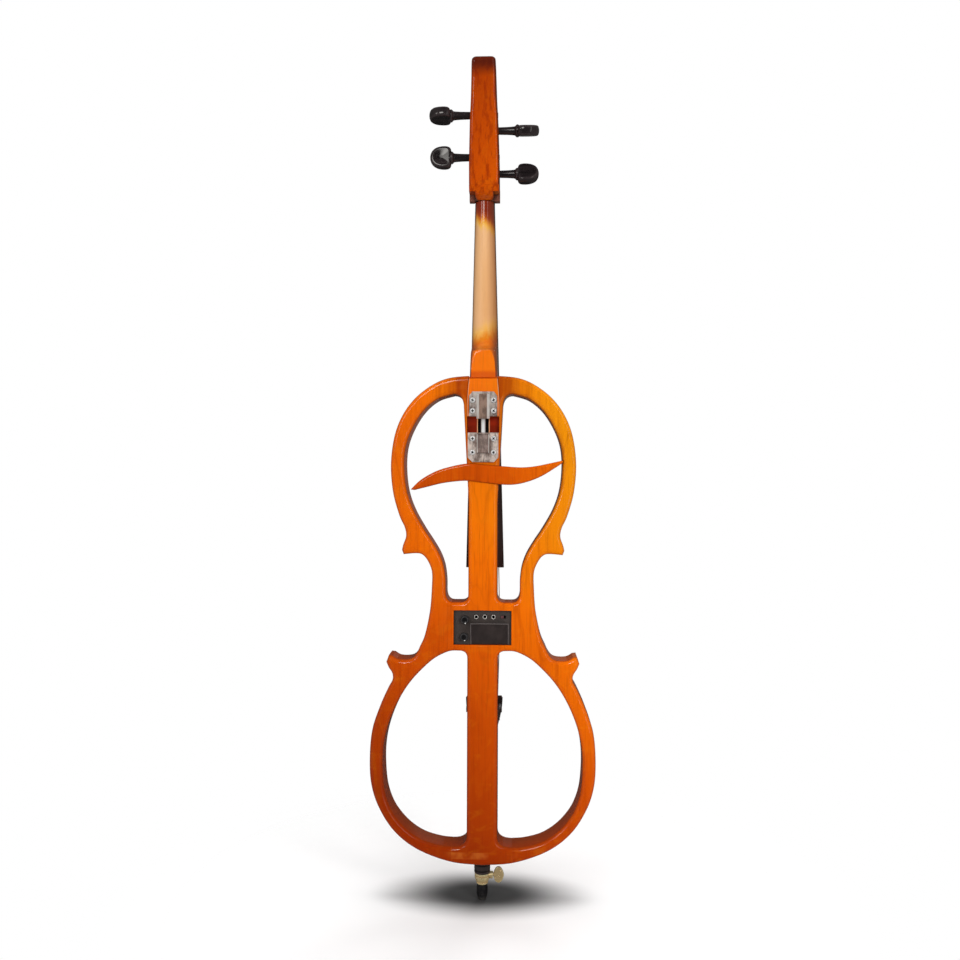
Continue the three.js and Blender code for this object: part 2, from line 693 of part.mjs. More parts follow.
function neckShaft() {
  const top = NECK_TOP - FIT_GAP;
  const shaftBack = boardFace(HEEL_START) - FIT_GAP - NECK_DEPTH_AT_HEEL;
  const topBack = boardFace(top) - FIT_GAP - NECK_DEPTH_AT_NUT;
  const rings = [neckSection(top, topBack, NECK_INSET, ...HEEL_SWEEP_SHARES[0].slice(2))];
  for (const [drop, reach, roundness, straight] of HEEL_SWEEP_SHARES) {
    const z = HEEL_START - drop * HEEL_SWEEP_HEIGHT;
    const back = THREE.MathUtils.lerp(shaftBack, -HEEL_PROUD, reach);
    const inset = THREE.MathUtils.lerp(NECK_INSET, HEEL_INSET, drop);
    rings.push(neckSection(z, back, inset, roundness, straight));
  }
  const wide = BOARD_WIDTH_AT_END;
  const trim = box([-wide, wide], [-HEEL_PROUD, boardFace(0)], [0, NECK_TOP + OVERRUN]);
  return loft(rings).intersect(trim);
}

function heelBlock() {
  const top = NECK_ROOT + HEEL_GROOVE;
  const narrow = HEEL_NECK_WIDTH / 2;
  const wide = HEEL_WIDTH / 2;
  const widened = NECK_ROOT - HEEL_WIDENING;
  const front = polygon([
    [-narrow, top], [-wide, widened], [-wide, HEEL_END], [wide, HEEL_END], [wide, widened], [narrow, top],
  ]);
  const block = extrude(front, "y", -HEEL_PROUD, HEEL_SEAT_DEPTH);
  const tongue = box([-wide, wide], [TONGUE_DEPTH, HEEL_SEAT_DEPTH], [TONGUE_END, HEEL_END + OVERRUN]);
  const slotHalf = ROD_SLOT_WIDTH / 2;
  const slot = box([-slotHalf, slotHalf], [0, ROD_SLOT_DEPTH], [TONGUE_END - OVERRUN, HEEL_END]);
  return block.add(tongue).subtract(slot);
}

function addNeck() {
  const groove = polygon([
    [-HEEL_PROUD - OVERRUN, NECK_ROOT + HEEL_GROOVE / 2 - OVERRUN],
    [-HEEL_PROUD + HEEL_GROOVE, NECK_ROOT + HEEL_GROOVE / 2],
    [-HEEL_PROUD - OVERRUN, NECK_ROOT + HEEL_GROOVE / 2 + OVERRUN],
  ]);
  const wide = BOARD_WIDTH_AT_END;
  const solid = neckShaft().add(heelBlock())
    .subtract(extrude(groove, "x", -wide, wide))
    .subtract(rodGroove(HEEL_END - OVERRUN, HEEL_END + ROD_REACH + FIT_GAP, -HEEL_PROUD))
    .subtract(screwHoles(UPPER_SCREWS, -HEEL_PROUD));
  add("neck", solid, bareMaple());
}

// Fingerboard: flat below, an arc on top, widening from the nut
const BOARD_ARC_STEPS = 8;

function archHeight(half, x, radius) {
  return Math.sqrt(radius ** 2 - x ** 2) - Math.sqrt(radius ** 2 - half ** 2);
}

function archSection(half, edge, base, z) {
  const ring = [spot(-half, base, z), spot(half, base, z)];
  for (let i = 0; i <= BOARD_ARC_STEPS; i += 1) {
    const x = half - (2 * half * i) / BOARD_ARC_STEPS;
    ring.push(spot(x, base + edge + archHeight(half, x, BOARD_RADIUS), z));
  }
  return ring;
}

function addFingerboard() {
  const low = NECK_TOP - BOARD_LENGTH;
  const board = loft([
    archSection(BOARD_WIDTH_AT_END / 2, BOARD_EDGE, boardFace(low), low),
    archSection(BOARD_WIDTH_AT_NUT / 2, BOARD_EDGE, boardFace(NECK_TOP), NECK_TOP),
  ]);
  add("fingerboard", board, ebony());
  const nutFoot = NECK_TOP + FIT_GAP;
  const nut = loft([
    archSection(BOARD_WIDTH_AT_NUT / 2, BOARD_EDGE + NUT_RISE, NECK_FACE_AT_NUT + FIT_GAP, nutFoot),
    archSection(BOARD_WIDTH_AT_NUT / 2, BOARD_EDGE + NUT_RISE, NECK_FACE_AT_NUT + FIT_GAP, nutFoot + NUT_THICKNESS),
  ]);
  add("nut", nut, ebony());
}

// Pegbox: heights are measured from the neck's top, depths from its tilted front face
const TILT_SLOPE = Math.tan(radians(PEGBOX_TILT));

function pegboxFace(height) {
  return NECK_FACE_AT_NUT - height * TILT_SLOPE;
}

// Back of the pegbox as shares: height up the pegbox and depth behind its face
const PEGBOX_BACK_SHARES = [
  [1, 0.36], [0.993, 0.66], [0.955, 0.88], [0.87, 0.8], [0.14, 1], [0.08, 0.95], [0.035, 0.8], [0.008, 0.6],
];
// Front view of the pegbox as shares of its half-width and of its height
const PEGBOX_FRONT_SHARES = [
  [0, 0.0015], [0.35, 0.006], [0.52, 0.022], [0.64, 0.055], [0.66, 0.085], [0.995, 0.092], [0.985, 0.25],
  [0.91, 0.55], [0.83, 0.71], [0.76, 0.965], [0.68, 0.993], [0.5, 1.02],
];
const CAVITY_HEIGHT_SHARES = [0.05, 0.86];
const PEGBOX_FOOT = NECK_TOP + FIT_GAP;

function pegboxSide() {
  const shoulderBack = NECK_FACE_AT_NUT - SHOULDER_DEPTH - FIT_GAP;
  const shoulderTop = PEGBOX_FOOT + SHOULDER_HEIGHT + FIT_GAP;
  const outline = [
    [shoulderBack, PEGBOX_FOOT],
    [shoulderBack, shoulderTop],
    [pegboxFace(SHOULDER_HEIGHT), shoulderTop],
    [pegboxFace(PEGBOX_HEIGHT * PEGBOX_BACK_SHARES[2][0]), NECK_TOP + PEGBOX_HEIGHT * PEGBOX_BACK_SHARES[2][0]],
  ];
  for (const [height, depth] of PEGBOX_BACK_SHARES) {
    const z = height * PEGBOX_HEIGHT;
    outline.push([pegboxFace(z) - depth * PEGBOX_THICKNESS, PEGBOX_FOOT + z]);
  }
  return extrude(polygon(outline), "x", -PEGBOX_WIDTH, PEGBOX_WIDTH);
}

function pegboxCavity() {
  const [low, high] = CAVITY_HEIGHT_SHARES.map((share) => share * PEGBOX_HEIGHT);
  const [lowFloor, highFloor] = [PEGBOX_BACK_SHARES[4][1], PEGBOX_BACK_SHARES[3][1]]
    .map((share) => share * PEGBOX_THICKNESS - PEGBOX_BACK_WALL);
  const side = polygon([
    [pegboxFace(low) - lowFloor, NECK_TOP + low],
    [pegboxFace(high) - highFloor, NECK_TOP + high],
    [pegboxFace(high) + OVERRUN, NECK_TOP + high],
    [pegboxFace(low) + PEGBOX_THICKNESS, NECK_TOP + low],
  ]);
  const wide = PEGBOX_WIDTH / 2 - PEGBOX_CHEEK;
  const narrow = wide * PEGBOX_FRONT_SHARES[8][0];
  const front = polygon([
    [-wide, NECK_TOP], [wide, NECK_TOP], [narrow, NECK_TOP + high + OVERRUN], [-narrow, NECK_TOP + high + OVERRUN],
  ]);
  const cut = extrude(side, "x", -PEGBOX_WIDTH, PEGBOX_WIDTH);
  return cut.intersect(extrude(front, "y", -PEGBOX_HEIGHT, PEGBOX_HEIGHT));
}

const PEG_NAMES = Object.keys(PEG_HEIGHTS);
const pegSide = (name) => (name.startsWith("right") ? 1 : -1);

function pegPlace(name) {
  const height = PEG_HEIGHTS[name];
  return spot(0, pegboxFace(height) - PEG_AXIS_DEPTH, NECK_TOP + height);
}

// The outside of the pegbox's cheek at a height above the neck's top
function cheekHalf(height) {
  const share = height / PEGBOX_HEIGHT;
  const above = PEGBOX_FRONT_SHARES.findIndex((point) => point[1] > share);
  const [low, high] = [PEGBOX_FRONT_SHARES[above - 1], PEGBOX_FRONT_SHARES[above]];
  return (THREE.MathUtils.mapLinear(share, low[1], high[1], low[0], high[0]) * PEGBOX_WIDTH) / 2;
}

// The peg's radius at a place along it: it tapers from the foot of its stem to its far end
const PEG_NEAR = PEGBOX_WIDTH / 2;

function pegRadius(place) {
  return THREE.MathUtils.mapLinear(place, -PEG_NEAR, PEG_NEAR, PEG_END_RADIUS, PEG_RADIUS);
}

function pegHole(name) {
  const from = -PEG_NEAR - OVERRUN;
  const to = PEG_NEAR + OVERRUN;
  const hole = bar("x", pegRadius(from) + FIT_GAP, from, to, SMALL_SIDES, pegRadius(to) + FIT_GAP);
  const turnedHole = pegSide(name) > 0 ? hole : hole.rotate([0, 180, 0]);
  const place = pegPlace(name);
  return turnedHole.translate([place.x, place.y, place.z]);
}

function addPegbox() {
  const front = [];
  for (const [x, z] of PEGBOX_FRONT_SHARES) front.push(flat((x * PEGBOX_WIDTH) / 2, PEGBOX_FOOT + z * PEGBOX_HEIGHT));
  const shape = new THREE.Shape([...front, ...mirrored(front.slice(1))]);
  let solid = pegboxSide().intersect(extrude(shape, "y", -PEGBOX_HEIGHT, PEGBOX_HEIGHT)).subtract(pegboxCavity());
  for (const name of PEG_NAMES) solid = solid.subtract(pegHole(name));
  add("pegbox", solid, lacquer());
}

// Its lower face rests on a hanger at both sides of the neck, whose end is let into it
function addShoulderBlock() {
  const half = PEGBOX_WIDTH / 2;
  const seatHalf = BOARD_WIDTH_AT_NUT / 2 + FIT_GAP;
  const back = NECK_FACE_AT_NUT - SHOULDER_DEPTH;
  const face = NECK_FACE_AT_NUT - FIT_GAP;
  const block = box([-half, half], [back, face], [NECK_TOP, PEGBOX_FOOT + SHOULDER_HEIGHT]);
  const ramp = polygon([
    [NECK_FACE_AT_NUT + OVERRUN, NECK_TOP + NUT_THICKNESS - OVERRUN / 2],
    [back - OVERRUN, NECK_TOP + SHOULDER_HEIGHT + OVERRUN / 2],
    [NECK_FACE_AT_NUT + OVERRUN, NECK_TOP + 2 * SHOULDER_HEIGHT],
  ]);
  const rampHalf = half - PEGBOX_CHEEK;
  const seat = box([-seatHalf, seatHalf], [back - OVERRUN, NECK_FACE_AT_NUT], [NECK_TOP - OVERRUN, NECK_TOP + SHOULDER_SEAT]);
  const solid = block.subtract(extrude(ramp, "x", -rampHalf, rampHalf)).subtract(seat);
  add("shoulder_block", solid, darkStain());
}

// Two curves of the peg head's edge, as shares of its length and of its half-width
const PEG_HEAD_SHARES = [[0, 0.5], [0, 0.88], [0.1, 1], [0.36, 1], [0.76, 1], [1, 0.6], [1, 0]];

// Pegs: a tapered shaft, a stem with a collar and a flat rounded head
function pegHead() {
  const start = PEG_NEAR + PEG_STEM_LENGTH - PEG_COLLAR_LENGTH / 4;
  const edge = (side) => PEG_HEAD_SHARES
    .map(([along, across]) => [start + along * PEG_HEAD_LENGTH, (side * across * PEG_HEAD_WIDTH) / 2]);
  const lower = edge(-1);
  const upper = edge(1).reverse();
  const outline = new THREE.Shape();
  outline.moveTo(...lower[0]);
  outline.bezierCurveTo(...lower[1], ...lower[2], ...lower[3]);
  outline.bezierCurveTo(...lower[4], ...lower[5], ...lower[6]);
  outline.bezierCurveTo(...upper[1], ...upper[2], ...upper[3]);
  outline.bezierCurveTo(...upper[4], ...upper[5], ...upper[6]);
  const half = PEG_HEAD_THICKNESS / 2;
  return extrude(outline, "y", -half, half, PEG_HEAD_BEVEL, 4);
}

function addPegs() {
  const headStart = PEG_NEAR + PEG_STEM_LENGTH;
  const collarStart = headStart - PEG_COLLAR_LENGTH;
  for (const name of PEG_NAMES) {
    const far = -cheekHalf(PEG_HEIGHTS[name]);
    const shaft = turned([
      [0, far], [pegRadius(far), far], [PEG_RADIUS, PEG_NEAR], [PEG_RADIUS, collarStart],
      [PEG_COLLAR_RADIUS, collarStart + PEG_COLLAR_LENGTH / 2], [PEG_RADIUS, headStart], [0, headStart],
    ], "x", SMALL_SIDES);
    const peg = shaft.add(pegHead());
    const facing = pegSide(name) > 0 ? peg : peg.rotate([0, 180, 0]);
    add(`peg_${name}`, facing.rotate([PEG_ANGLES[name], 0, 0]), ebony(), cello, pegPlace(name));
  }
}

// Bridge
const BRIDGE_FOOT = BODY_THICKNESS + PICKUP_THICKNESS;
// One half of the bridge as shares of its half foot width and of its height, foot to shoulder
const BRIDGE_OUTLINE_SHARES = [
  [1, 0], [1, 0.05], [0.8, 0.1], [0.7, 0.24], [0.75, 0.39], [0.84, 0.47], [0.68, 0.54], [0.57, 0.61], [0.66, 0.73],
];
const BRIDGE_ARCH_SHARES = [[0, 0.31], [0.3, 0.27], [0.52, 0.15], [0.59, 0]];
const BRIDGE_HEART_SHARE = 0.6;

function addBridge() {
  const half = BRIDGE_FOOT_WIDTH / 2;
  const topHalf = BRIDGE_TOP_WIDTH / 2;
  const at = ([x, y]) => flat(x * half, BRIDGE_FOOT + y * BRIDGE_HEIGHT);
  const right = [...BRIDGE_ARCH_SHARES, ...BRIDGE_OUTLINE_SHARES].map(at);
  for (let i = BOARD_ARC_STEPS; i > 0; i -= 1) {
    const x = (topHalf * i) / BOARD_ARC_STEPS;
    right.push(flat(x, BRIDGE_FOOT + BRIDGE_HEIGHT - BRIDGE_RADIUS + Math.sqrt(BRIDGE_RADIUS ** 2 - x ** 2)));
  }
  const shape = new THREE.Shape([...right, flat(0, BRIDGE_FOOT + BRIDGE_HEIGHT), ...mirrored(right.slice(1))]);
  const heart = new THREE.Path();
  heart.absarc(0, BRIDGE_FOOT + BRIDGE_HEART_SHARE * BRIDGE_HEIGHT, BRIDGE_HEART_RADIUS, 0, 2 * Math.PI);
  shape.holes.push(heart);
  const thickHalf = BRIDGE_FOOT_THICKNESS / 2;
  const thinHalf = BRIDGE_TOP_THICKNESS / 2;
  const z = BRIDGE_PLACE;
  const taper = polygon([
    [BRIDGE_FOOT, z - thickHalf], [BRIDGE_FOOT + BRIDGE_HEIGHT + OVERRUN, z - thinHalf],
    [BRIDGE_FOOT + BRIDGE_HEIGHT + OVERRUN, z + thinHalf], [BRIDGE_FOOT, z + thickHalf],
  ]);
  const solid = extrude(shape, "z", z - thickHalf, z + thickHalf, 0, 3).intersect(extrude(taper, "x", -half, half));
  add("bridge", solid, bareMaple());
  add("bridge_pickup", box(
    [-PICKUP_LENGTH / 2, PICKUP_LENGTH / 2],
    [BODY_THICKNESS, BRIDGE_FOOT],
    [z - PICKUP_WIDTH / 2, z + PICKUP_WIDTH / 2],
  ), blackPlastic());
}

// Tailpiece group: x across, y out of its upper face, z up along it from its top end
const tail = new THREE.Group();
tail.position.set(0, TAIL_TOP_DEPTH, TAIL_TOP_HEIGHT);
tail.rotation.x = -radians(TAIL_TILT);
cello.add(tail);

// Tailpiece outline as shares of its half-width and of its length
const TAIL_OUTLINE_SHARES = [
  [0.93, 0], [1, 0.015], [0.97, 0.07], [0.9, 0.125], [0.8, 0.178], [0.67, 0.26], [0.53, 0.39], [0.43, 0.56],
  [0.38, 0.8], [0.37, 0.98], [0.3, 1],
];
const STRING_NAMES = Object.keys(STRING_RADII);
const stringPlace = (index, spacing) => ((STRING_NAMES.length - 1) / 2 - index) * spacing;

function tuner(index) {
  return stringPlace(index, STRING_SPACING_AT_TAIL);
}

function addTailpiece() {
  const right = TAIL_OUTLINE_SHARES.map(([x, z]) => flat((x * TAIL_TOP_WIDTH) / 2, -z * TAIL_LENGTH));
  let solid = extrude(new THREE.Shape([...right, ...mirrored(right)]), "y", -TAIL_THICKNESS, 0, TAIL_EDGE, 1);
  const ridgeHalf = (TAIL_OUTLINE_SHARES[0][0] * TAIL_TOP_WIDTH) / 2 - TAIL_RIDGE_WIDTH;
  solid = solid.add(box([-ridgeHalf, ridgeHalf], [-TAIL_THICKNESS / 2, TAIL_RIDGE_HEIGHT],
    [-2 * TAIL_RIDGE_WIDTH, -TAIL_RIDGE_WIDTH]));
  const axleHeight = -TAIL_THICKNESS - TUNER_AXLE_DROP;
  for (let i = 0; i <= STRING_NAMES.length; i += 1) {
    const x = (i - STRING_NAMES.length / 2) * STRING_SPACING_AT_TAIL;
    const side = Math.sign(x) * (Math.abs(x) > STRING_SPACING_AT_TAIL ? TUNER_EAR_THICKNESS / 2 : 0);
    const ear = box(
      [x - side - TUNER_EAR_THICKNESS / 2, x - side + TUNER_EAR_THICKNESS / 2],
      [-TAIL_THICKNESS - TUNER_EAR_DEPTH, -TAIL_THICKNESS / 2],
      [-TUNER_AXLE_PLACE - TUNER_EAR_LENGTH / 2, -TUNER_AXLE_PLACE + TUNER_EAR_LENGTH / 2],
    );
    solid = solid.add(ear);
  }
  const axleHole = bar("x", TUNER_AXLE_RADIUS + FIT_GAP, -TAIL_TOP_WIDTH, TAIL_TOP_WIDTH, TINY_SIDES)
    .translate([0, axleHeight, -TUNER_AXLE_PLACE]);
  solid = solid.subtract(axleHole);
  const depth = [-TAIL_THICKNESS - OVERRUN, OVERRUN];
  for (let i = 0; i < STRING_NAMES.length; i += 1) {
    const x = tuner(i);
    const slotHalf = TUNER_LEVER_WIDTH / 2 + FIT_GAP;
    const slotTop = -TUNER_FORK_PLACE + TUNER_LEVER_THICKNESS / 2 + FIT_GAP;
    solid = solid.subtract(box([x - slotHalf, x + slotHalf], depth, [slotTop - TUNER_SLOT_LENGTH, slotTop]));
    solid = solid.subtract(bar("y", TUNER_SCREW_RADIUS + FIT_GAP, ...depth, TINY_SIDES)
      .translate([x, 0, -TUNER_SCREW_PLACE]));
  }
  for (const side of [-1, 1]) {
    solid = solid.subtract(bar("z", TAIL_CORD_RADIUS + FIT_GAP, -TAIL_LENGTH - OVERRUN,
      -TAIL_LENGTH + TAIL_CORD_HOLE_DEPTH, TINY_SIDES).translate([(side * TAIL_CORD_SPACING) / 2, -TAIL_THICKNESS / 2, 0]));
  }
  add("tailpiece", solid, ebony(), tail);
  const axleHalf = (TAIL_OUTLINE_SHARES[2][0] * TAIL_TOP_WIDTH) / 2;
  add("tuner_axle", bar("x", TUNER_AXLE_RADIUS, -axleHalf, axleHalf, TINY_SIDES), nickel(), tail,
    spot(0, axleHeight, -TUNER_AXLE_PLACE));
}

// Each lever turns on the axle: a fork holds the string, and a screw pushes the other arm
function addTuners() {
  const axleHeight = -TAIL_THICKNESS - TUNER_AXLE_DROP;
  const forkTop = -axleHeight + TUNER_FORK_RISE;
  const thick = TUNER_LEVER_THICKNESS / 2;
  const fork = TUNER_AXLE_PLACE - TUNER_FORK_PLACE;
  const armEnd = TUNER_AXLE_PLACE - TUNER_SCREW_PLACE - 2 * TUNER_SCREW_RADIUS;
  const hub = TUNER_AXLE_RADIUS + TUNER_LEVER_THICKNESS / 2;
  const armFace = hub - TUNER_ARM_CUT;
  const profile = polygon([
    [-hub, armEnd], [armFace, armEnd], [armFace, fork - thick], [forkTop, fork - thick],
    [forkTop, fork + thick], [-hub, fork + thick],
  ]);
  const half = TUNER_LEVER_WIDTH / 2;
  const bore = bar("x", TUNER_AXLE_RADIUS + FIT_GAP, -half - OVERRUN, half + OVERRUN, TINY_SIDES);
  const lever = extrude(profile, "x", -half, half).subtract(bore);
  const screwLength = -axleHeight - armFace - FIT_GAP;
  const screw = turned([
    [0, -screwLength], [TUNER_SCREW_RADIUS, -screwLength], [TUNER_SCREW_RADIUS, FIT_GAP], [TUNER_HEAD_RADIUS, FIT_GAP],
    [TUNER_HEAD_RADIUS, TUNER_HEAD_HEIGHT], [0, TUNER_HEAD_HEIGHT],
  ], "y", THIN_SIDES);
  STRING_NAMES.forEach((name, index) => {
    add(`tuner_lever_${name}`, lever, nickel(), tail, spot(tuner(index), axleHeight, -TUNER_AXLE_PLACE));
    add(`tuner_screw_${name}`, screw, nickel(), tail, spot(tuner(index), 0, -TUNER_SCREW_PLACE));
  });
}

// A point of the tailpiece group in the frame of the body
function fromTail(x, y, z) {
  tail.updateMatrix();
  return spot(x, y, z).applyMatrix4(tail.matrix);
}

// Strings: wound on their pegs, over the nut and the bridge, down to the tuner forks
const STRING_PEGS = { c: "right_lower", g: "right_upper", d: "left_upper", a: "left_lower" };
const WINDING_REACH = WINDING_TURNS * WINDING_PITCH;

function windingPoints(name, nutPoint, radius) {
  const peg = STRING_PEGS[name];
  const side = pegSide(peg);
  const place = pegPlace(peg);
  const outward = Math.sign(nutPoint.x);
  const lastX = nutPoint.x - (outward * WINDING_PITCH) / 2;
  const ring = pegRadius(side * lastX) + 2 * FIT_GAP + radius;
  const dy = nutPoint.y - place.y;
  const dz = nutPoint.z - place.z;
  const leave = Math.atan2(dz, dy) + Math.acos(ring / Math.hypot(dy, dz));
  const steps = Math.round(WINDING_TURNS * WINDING_STEPS_A_TURN);
  const points = [];
  for (let i = 0; i <= steps; i += 1) {
    const share = i / steps;
    const angle = leave + 2 * Math.PI * WINDING_TURNS * (1 - share);
    const x = lastX - outward * WINDING_REACH * (1 - share);
    points.push(spot(x, place.y + ring * Math.cos(angle), place.z + ring * Math.sin(angle)));
  }
  return points;
}

// The least distance between points of one winding that are more than half a turn apart
function leastGap(points, radius) {
  let least = Infinity;
  for (let i = 0; i < points.length; i += 1) {
    for (let j = i + WINDING_STEPS_A_TURN / 2; j < points.length; j += 1) {
      least = Math.min(least, points[i].distanceTo(points[j]));
    }
  }
  return least - 2 * radius;
}

function addStrings() {
  const nutTop = NECK_FACE_AT_NUT + FIT_GAP + BOARD_EDGE + NUT_RISE;
  const nutLow = NECK_TOP - FIT_GAP;
  const nutHigh = NECK_TOP + 2 * FIT_GAP + NUT_THICKNESS;
  const bridgeHalf = BRIDGE_TOP_THICKNESS / 2 + 2 * FIT_GAP;
  STRING_NAMES.forEach((name, index) => {
    const radius = STRING_RADII[name];
    const clear = radius + FIT_GAP;
    const nutX = stringPlace(index, STRING_SPACING_AT_NUT);
    const nutY = nutTop + archHeight(BOARD_WIDTH_AT_NUT / 2, nutX, BOARD_RADIUS) + clear;
    const bridgeX = stringPlace(index, STRING_SPACING_AT_BRIDGE);
    const sag = BRIDGE_RADIUS - Math.sqrt(BRIDGE_RADIUS ** 2 - bridgeX ** 2);
    const bridgeY = BRIDGE_FOOT + BRIDGE_HEIGHT - sag + clear;
    const tailX = tuner(index);
    const ridge = TAIL_RIDGE_HEIGHT + clear;
    const forkFace = -TUNER_FORK_PLACE + TUNER_LEVER_THICKNESS / 2 + 2 * FIT_GAP;
    const nutPoint = spot(nutX, nutY, nutHigh);
    const winding = windingPoints(name, nutPoint, radius);
    const points = [
      ...winding,
      nutPoint,
      spot(nutX, nutY, nutLow),
      spot(bridgeX, bridgeY, BRIDGE_PLACE + bridgeHalf),
      spot(bridgeX, bridgeY, BRIDGE_PLACE - bridgeHalf),
      fromTail(tailX, ridge, -TAIL_RIDGE_WIDTH + FIT_GAP),
      fromTail(tailX, ridge, -2 * TAIL_RIDGE_WIDTH - FIT_GAP),
      fromTail(tailX, clear, forkFace),
    ];
    add(`string_${name}`, tube(points, radius, STRING_SIDES), stringSteel());
    console.log(`winding of string ${name}: least gap to itself ${leastGap(winding, radius).toFixed(2)} mm`);
  });
}

// Tail cord: out of the tailpiece's end, over the saddle and round the endpin plug
const CORD_ROUND_STEPS = 12;

function addTailCord() {
  const saddleFoot = EDGE_ROUNDING + FIT_GAP;
  const saddleFront = BODY_THICKNESS + SADDLE_DEPTH;
  add("saddle", box([-SADDLE_WIDTH / 2, SADDLE_WIDTH / 2], [BODY_THICKNESS, saddleFront],
    [saddleFoot, saddleFoot + SADDLE_HEIGHT]), ebony());
  const radius = TAIL_CORD_RADIUS;
  const clear = radius + FIT_GAP;
  const round = PLUG_RADIUS + clear;
  const low = -clear - FIT_GAP;
  const half = [];
  half.push(fromTail(TAIL_CORD_SPACING / 2, -TAIL_THICKNESS / 2, -TAIL_LENGTH + TAIL_CORD_HOLE_DEPTH - FIT_GAP));
  half.push(fromTail(TAIL_CORD_SPACING / 2, -TAIL_THICKNESS / 2, -TAIL_LENGTH - 2 * TAIL_CORD_RADIUS));
  half.push(spot(TAIL_CORD_SPACING / 2, saddleFront + clear, saddleFoot + SADDLE_HEIGHT));
  half.push(spot(TAIL_CORD_SPACING, saddleFront + clear, low));
  half.push(spot(round, BODY_THICKNESS - clear, low));
  for (let i = 0; i <= CORD_ROUND_STEPS / 2; i += 1) {
    const angle = (Math.PI * i) / CORD_ROUND_STEPS;
    half.push(spot(round * Math.cos(angle), BODY_MIDDLE - round * Math.sin(angle), low));
  }
  const others = half.slice(0, -1).reverse().map((point) => spot(-point.x, point.y, point.z));
  add("tail_cord", tube([...half, ...others], radius, 8), blackPlastic());
}

// Neck bracket
function bracketShape(low, high, chamferTop) {
  const half = BRACKET_WIDTH / 2;
  const cut = BRACKET_CHAMFER;
  const [flatEnd, cutEnd] = chamferTop ? [low, high] : [high, low];
  const inward = chamferTop ? -cut : cut;
  return polygon([
    [-half, flatEnd], [half, flatEnd], [half, cutEnd + inward], [half - cut, cutEnd],
    [-half + cut, cutEnd], [-half, cutEnd + inward],
  ]);
}

function addBracket() {
  const heelBack = -HEEL_PROUD;
  const upperTop = HEEL_END + UPPER_BRACKET_HEIGHT;
  const channelHalf = CHANNEL_WIDTH / 2;
  const outer = heelBack - BRACKET_PLATE - CHANNEL_RISE;
  const crown = channelHalf * CHANNEL_CROWN_SHARE;
  const channel = extrude(polygon([
    [-channelHalf, heelBack], [-channelHalf, heelBack - BRACKET_PLATE], [-crown, outer], [crown, outer],
    [channelHalf, heelBack - BRACKET_PLATE], [channelHalf, heelBack],
  ]), "z", HEEL_END - CHANNEL_OVERHANG, upperTop - CHANNEL_OVERHANG);
  const upper = extrude(bracketShape(HEEL_END, upperTop, true), "y", heelBack - BRACKET_PLATE, heelBack)
    .add(channel)
    .subtract(screwHoles(UPPER_SCREWS, heelBack));
  add("upper_bracket", upper, nickel());

  const bossHalf = BOSS_WIDTH / 2;
  const bossTop = LOWER_BRACKET_TOP - BRACKET_PLATE;
  const boss = extrude(polygon([
    [-bossHalf, bossTop - BOSS_HEIGHT], [bossHalf, bossTop - BOSS_HEIGHT], [bossHalf, bossTop], [-bossHalf, bossTop],
  ]), "y", -BRACKET_PLATE - BOSS_RISE, -BRACKET_PLATE / 2, BOSS_EDGE);
  const lower = extrude(bracketShape(LOWER_BRACKET_LOW, LOWER_BRACKET_TOP, false), "y", -BRACKET_PLATE, 0)
    .add(boss)
    .subtract(screwHoles(LOWER_SCREWS, 0));
  add("lower_bracket", lower, nickel());

  const rod = bar("z", ROD_RADIUS, MORTISE_END - ROD_REACH, HEEL_END + ROD_REACH, SMALL_SIDES);
  add("bracket_rod", rod, chrome(), cello, spot(0, ROD_DEPTH, 0));
}

// The screw head's profile as shares of its radius and of its height
const SCREW_HEAD_SHARES = [[0, 1], [0.6, 0.8], [1, 0]];

function addBracketScrews() {
  const head = SCREW_HEAD_SHARES.map(([out, up]) => [out * SCREW_HEAD_RADIUS, -up * SCREW_HEAD_HEIGHT]);
  const screw = turned([...head, [SCREW_RADIUS, 0], [SCREW_RADIUS, SCREW_LENGTH], [0, SCREW_LENGTH]], "y", TINY_SIDES);
  const rows = [[UPPER_SCREWS, -HEEL_PROUD - BRACKET_PLATE, "upper"], [LOWER_SCREWS, -BRACKET_PLATE, "lower"]];
  for (const [heights, face, level] of rows) {
    heights.forEach((z, row) => {
      for (const [side, word] of [[-1, "left"], [1, "right"]]) {
        add(`bracket_screw_${level}_${word}_${row + 1}`, screw, chrome(), cello, spot(side * SCREW_SPREAD, face, z));
      }
    });
  }
}

// Control unit: places are measured from the panel's centre
const panel = new THREE.Group();
panel.position.set(0, 0, PANEL_CENTRE);
cello.add(panel);

const JACK_NAMES = ["line_out_jack", "headphone_jack", "aux_jack"];
const HOUSING_HALF = [PANEL_WIDTH / 2 - FIT_GAP, PANEL_HEIGHT / 2 - FIT_GAP];
const DOOR_RIGHT = HOUSING_HALF[0] - DOOR_EDGE_MARGIN;
const DOOR_LEFT = DOOR_RIGHT - DOOR_WIDTH;
const DOOR_LOW = -HOUSING_HALF[1] + FIT_GAP;
const DOOR_HIGH = DOOR_LOW + DOOR_HEIGHT;
const BARREL_X = DOOR_LEFT + DOOR_BARREL_RADIUS;
const BARREL_Y = PANEL_RECESS + DOOR_THICKNESS / 2;
const BATTERY_LEFT = BARREL_X + 3 * DOOR_BARREL_RADIUS;
const BATTERY_LOW = DOOR_LOW + HOUSING_WALL;
const BATTERY_FACE = PANEL_RECESS + DOOR_THICKNESS + 2 * FIT_GAP;

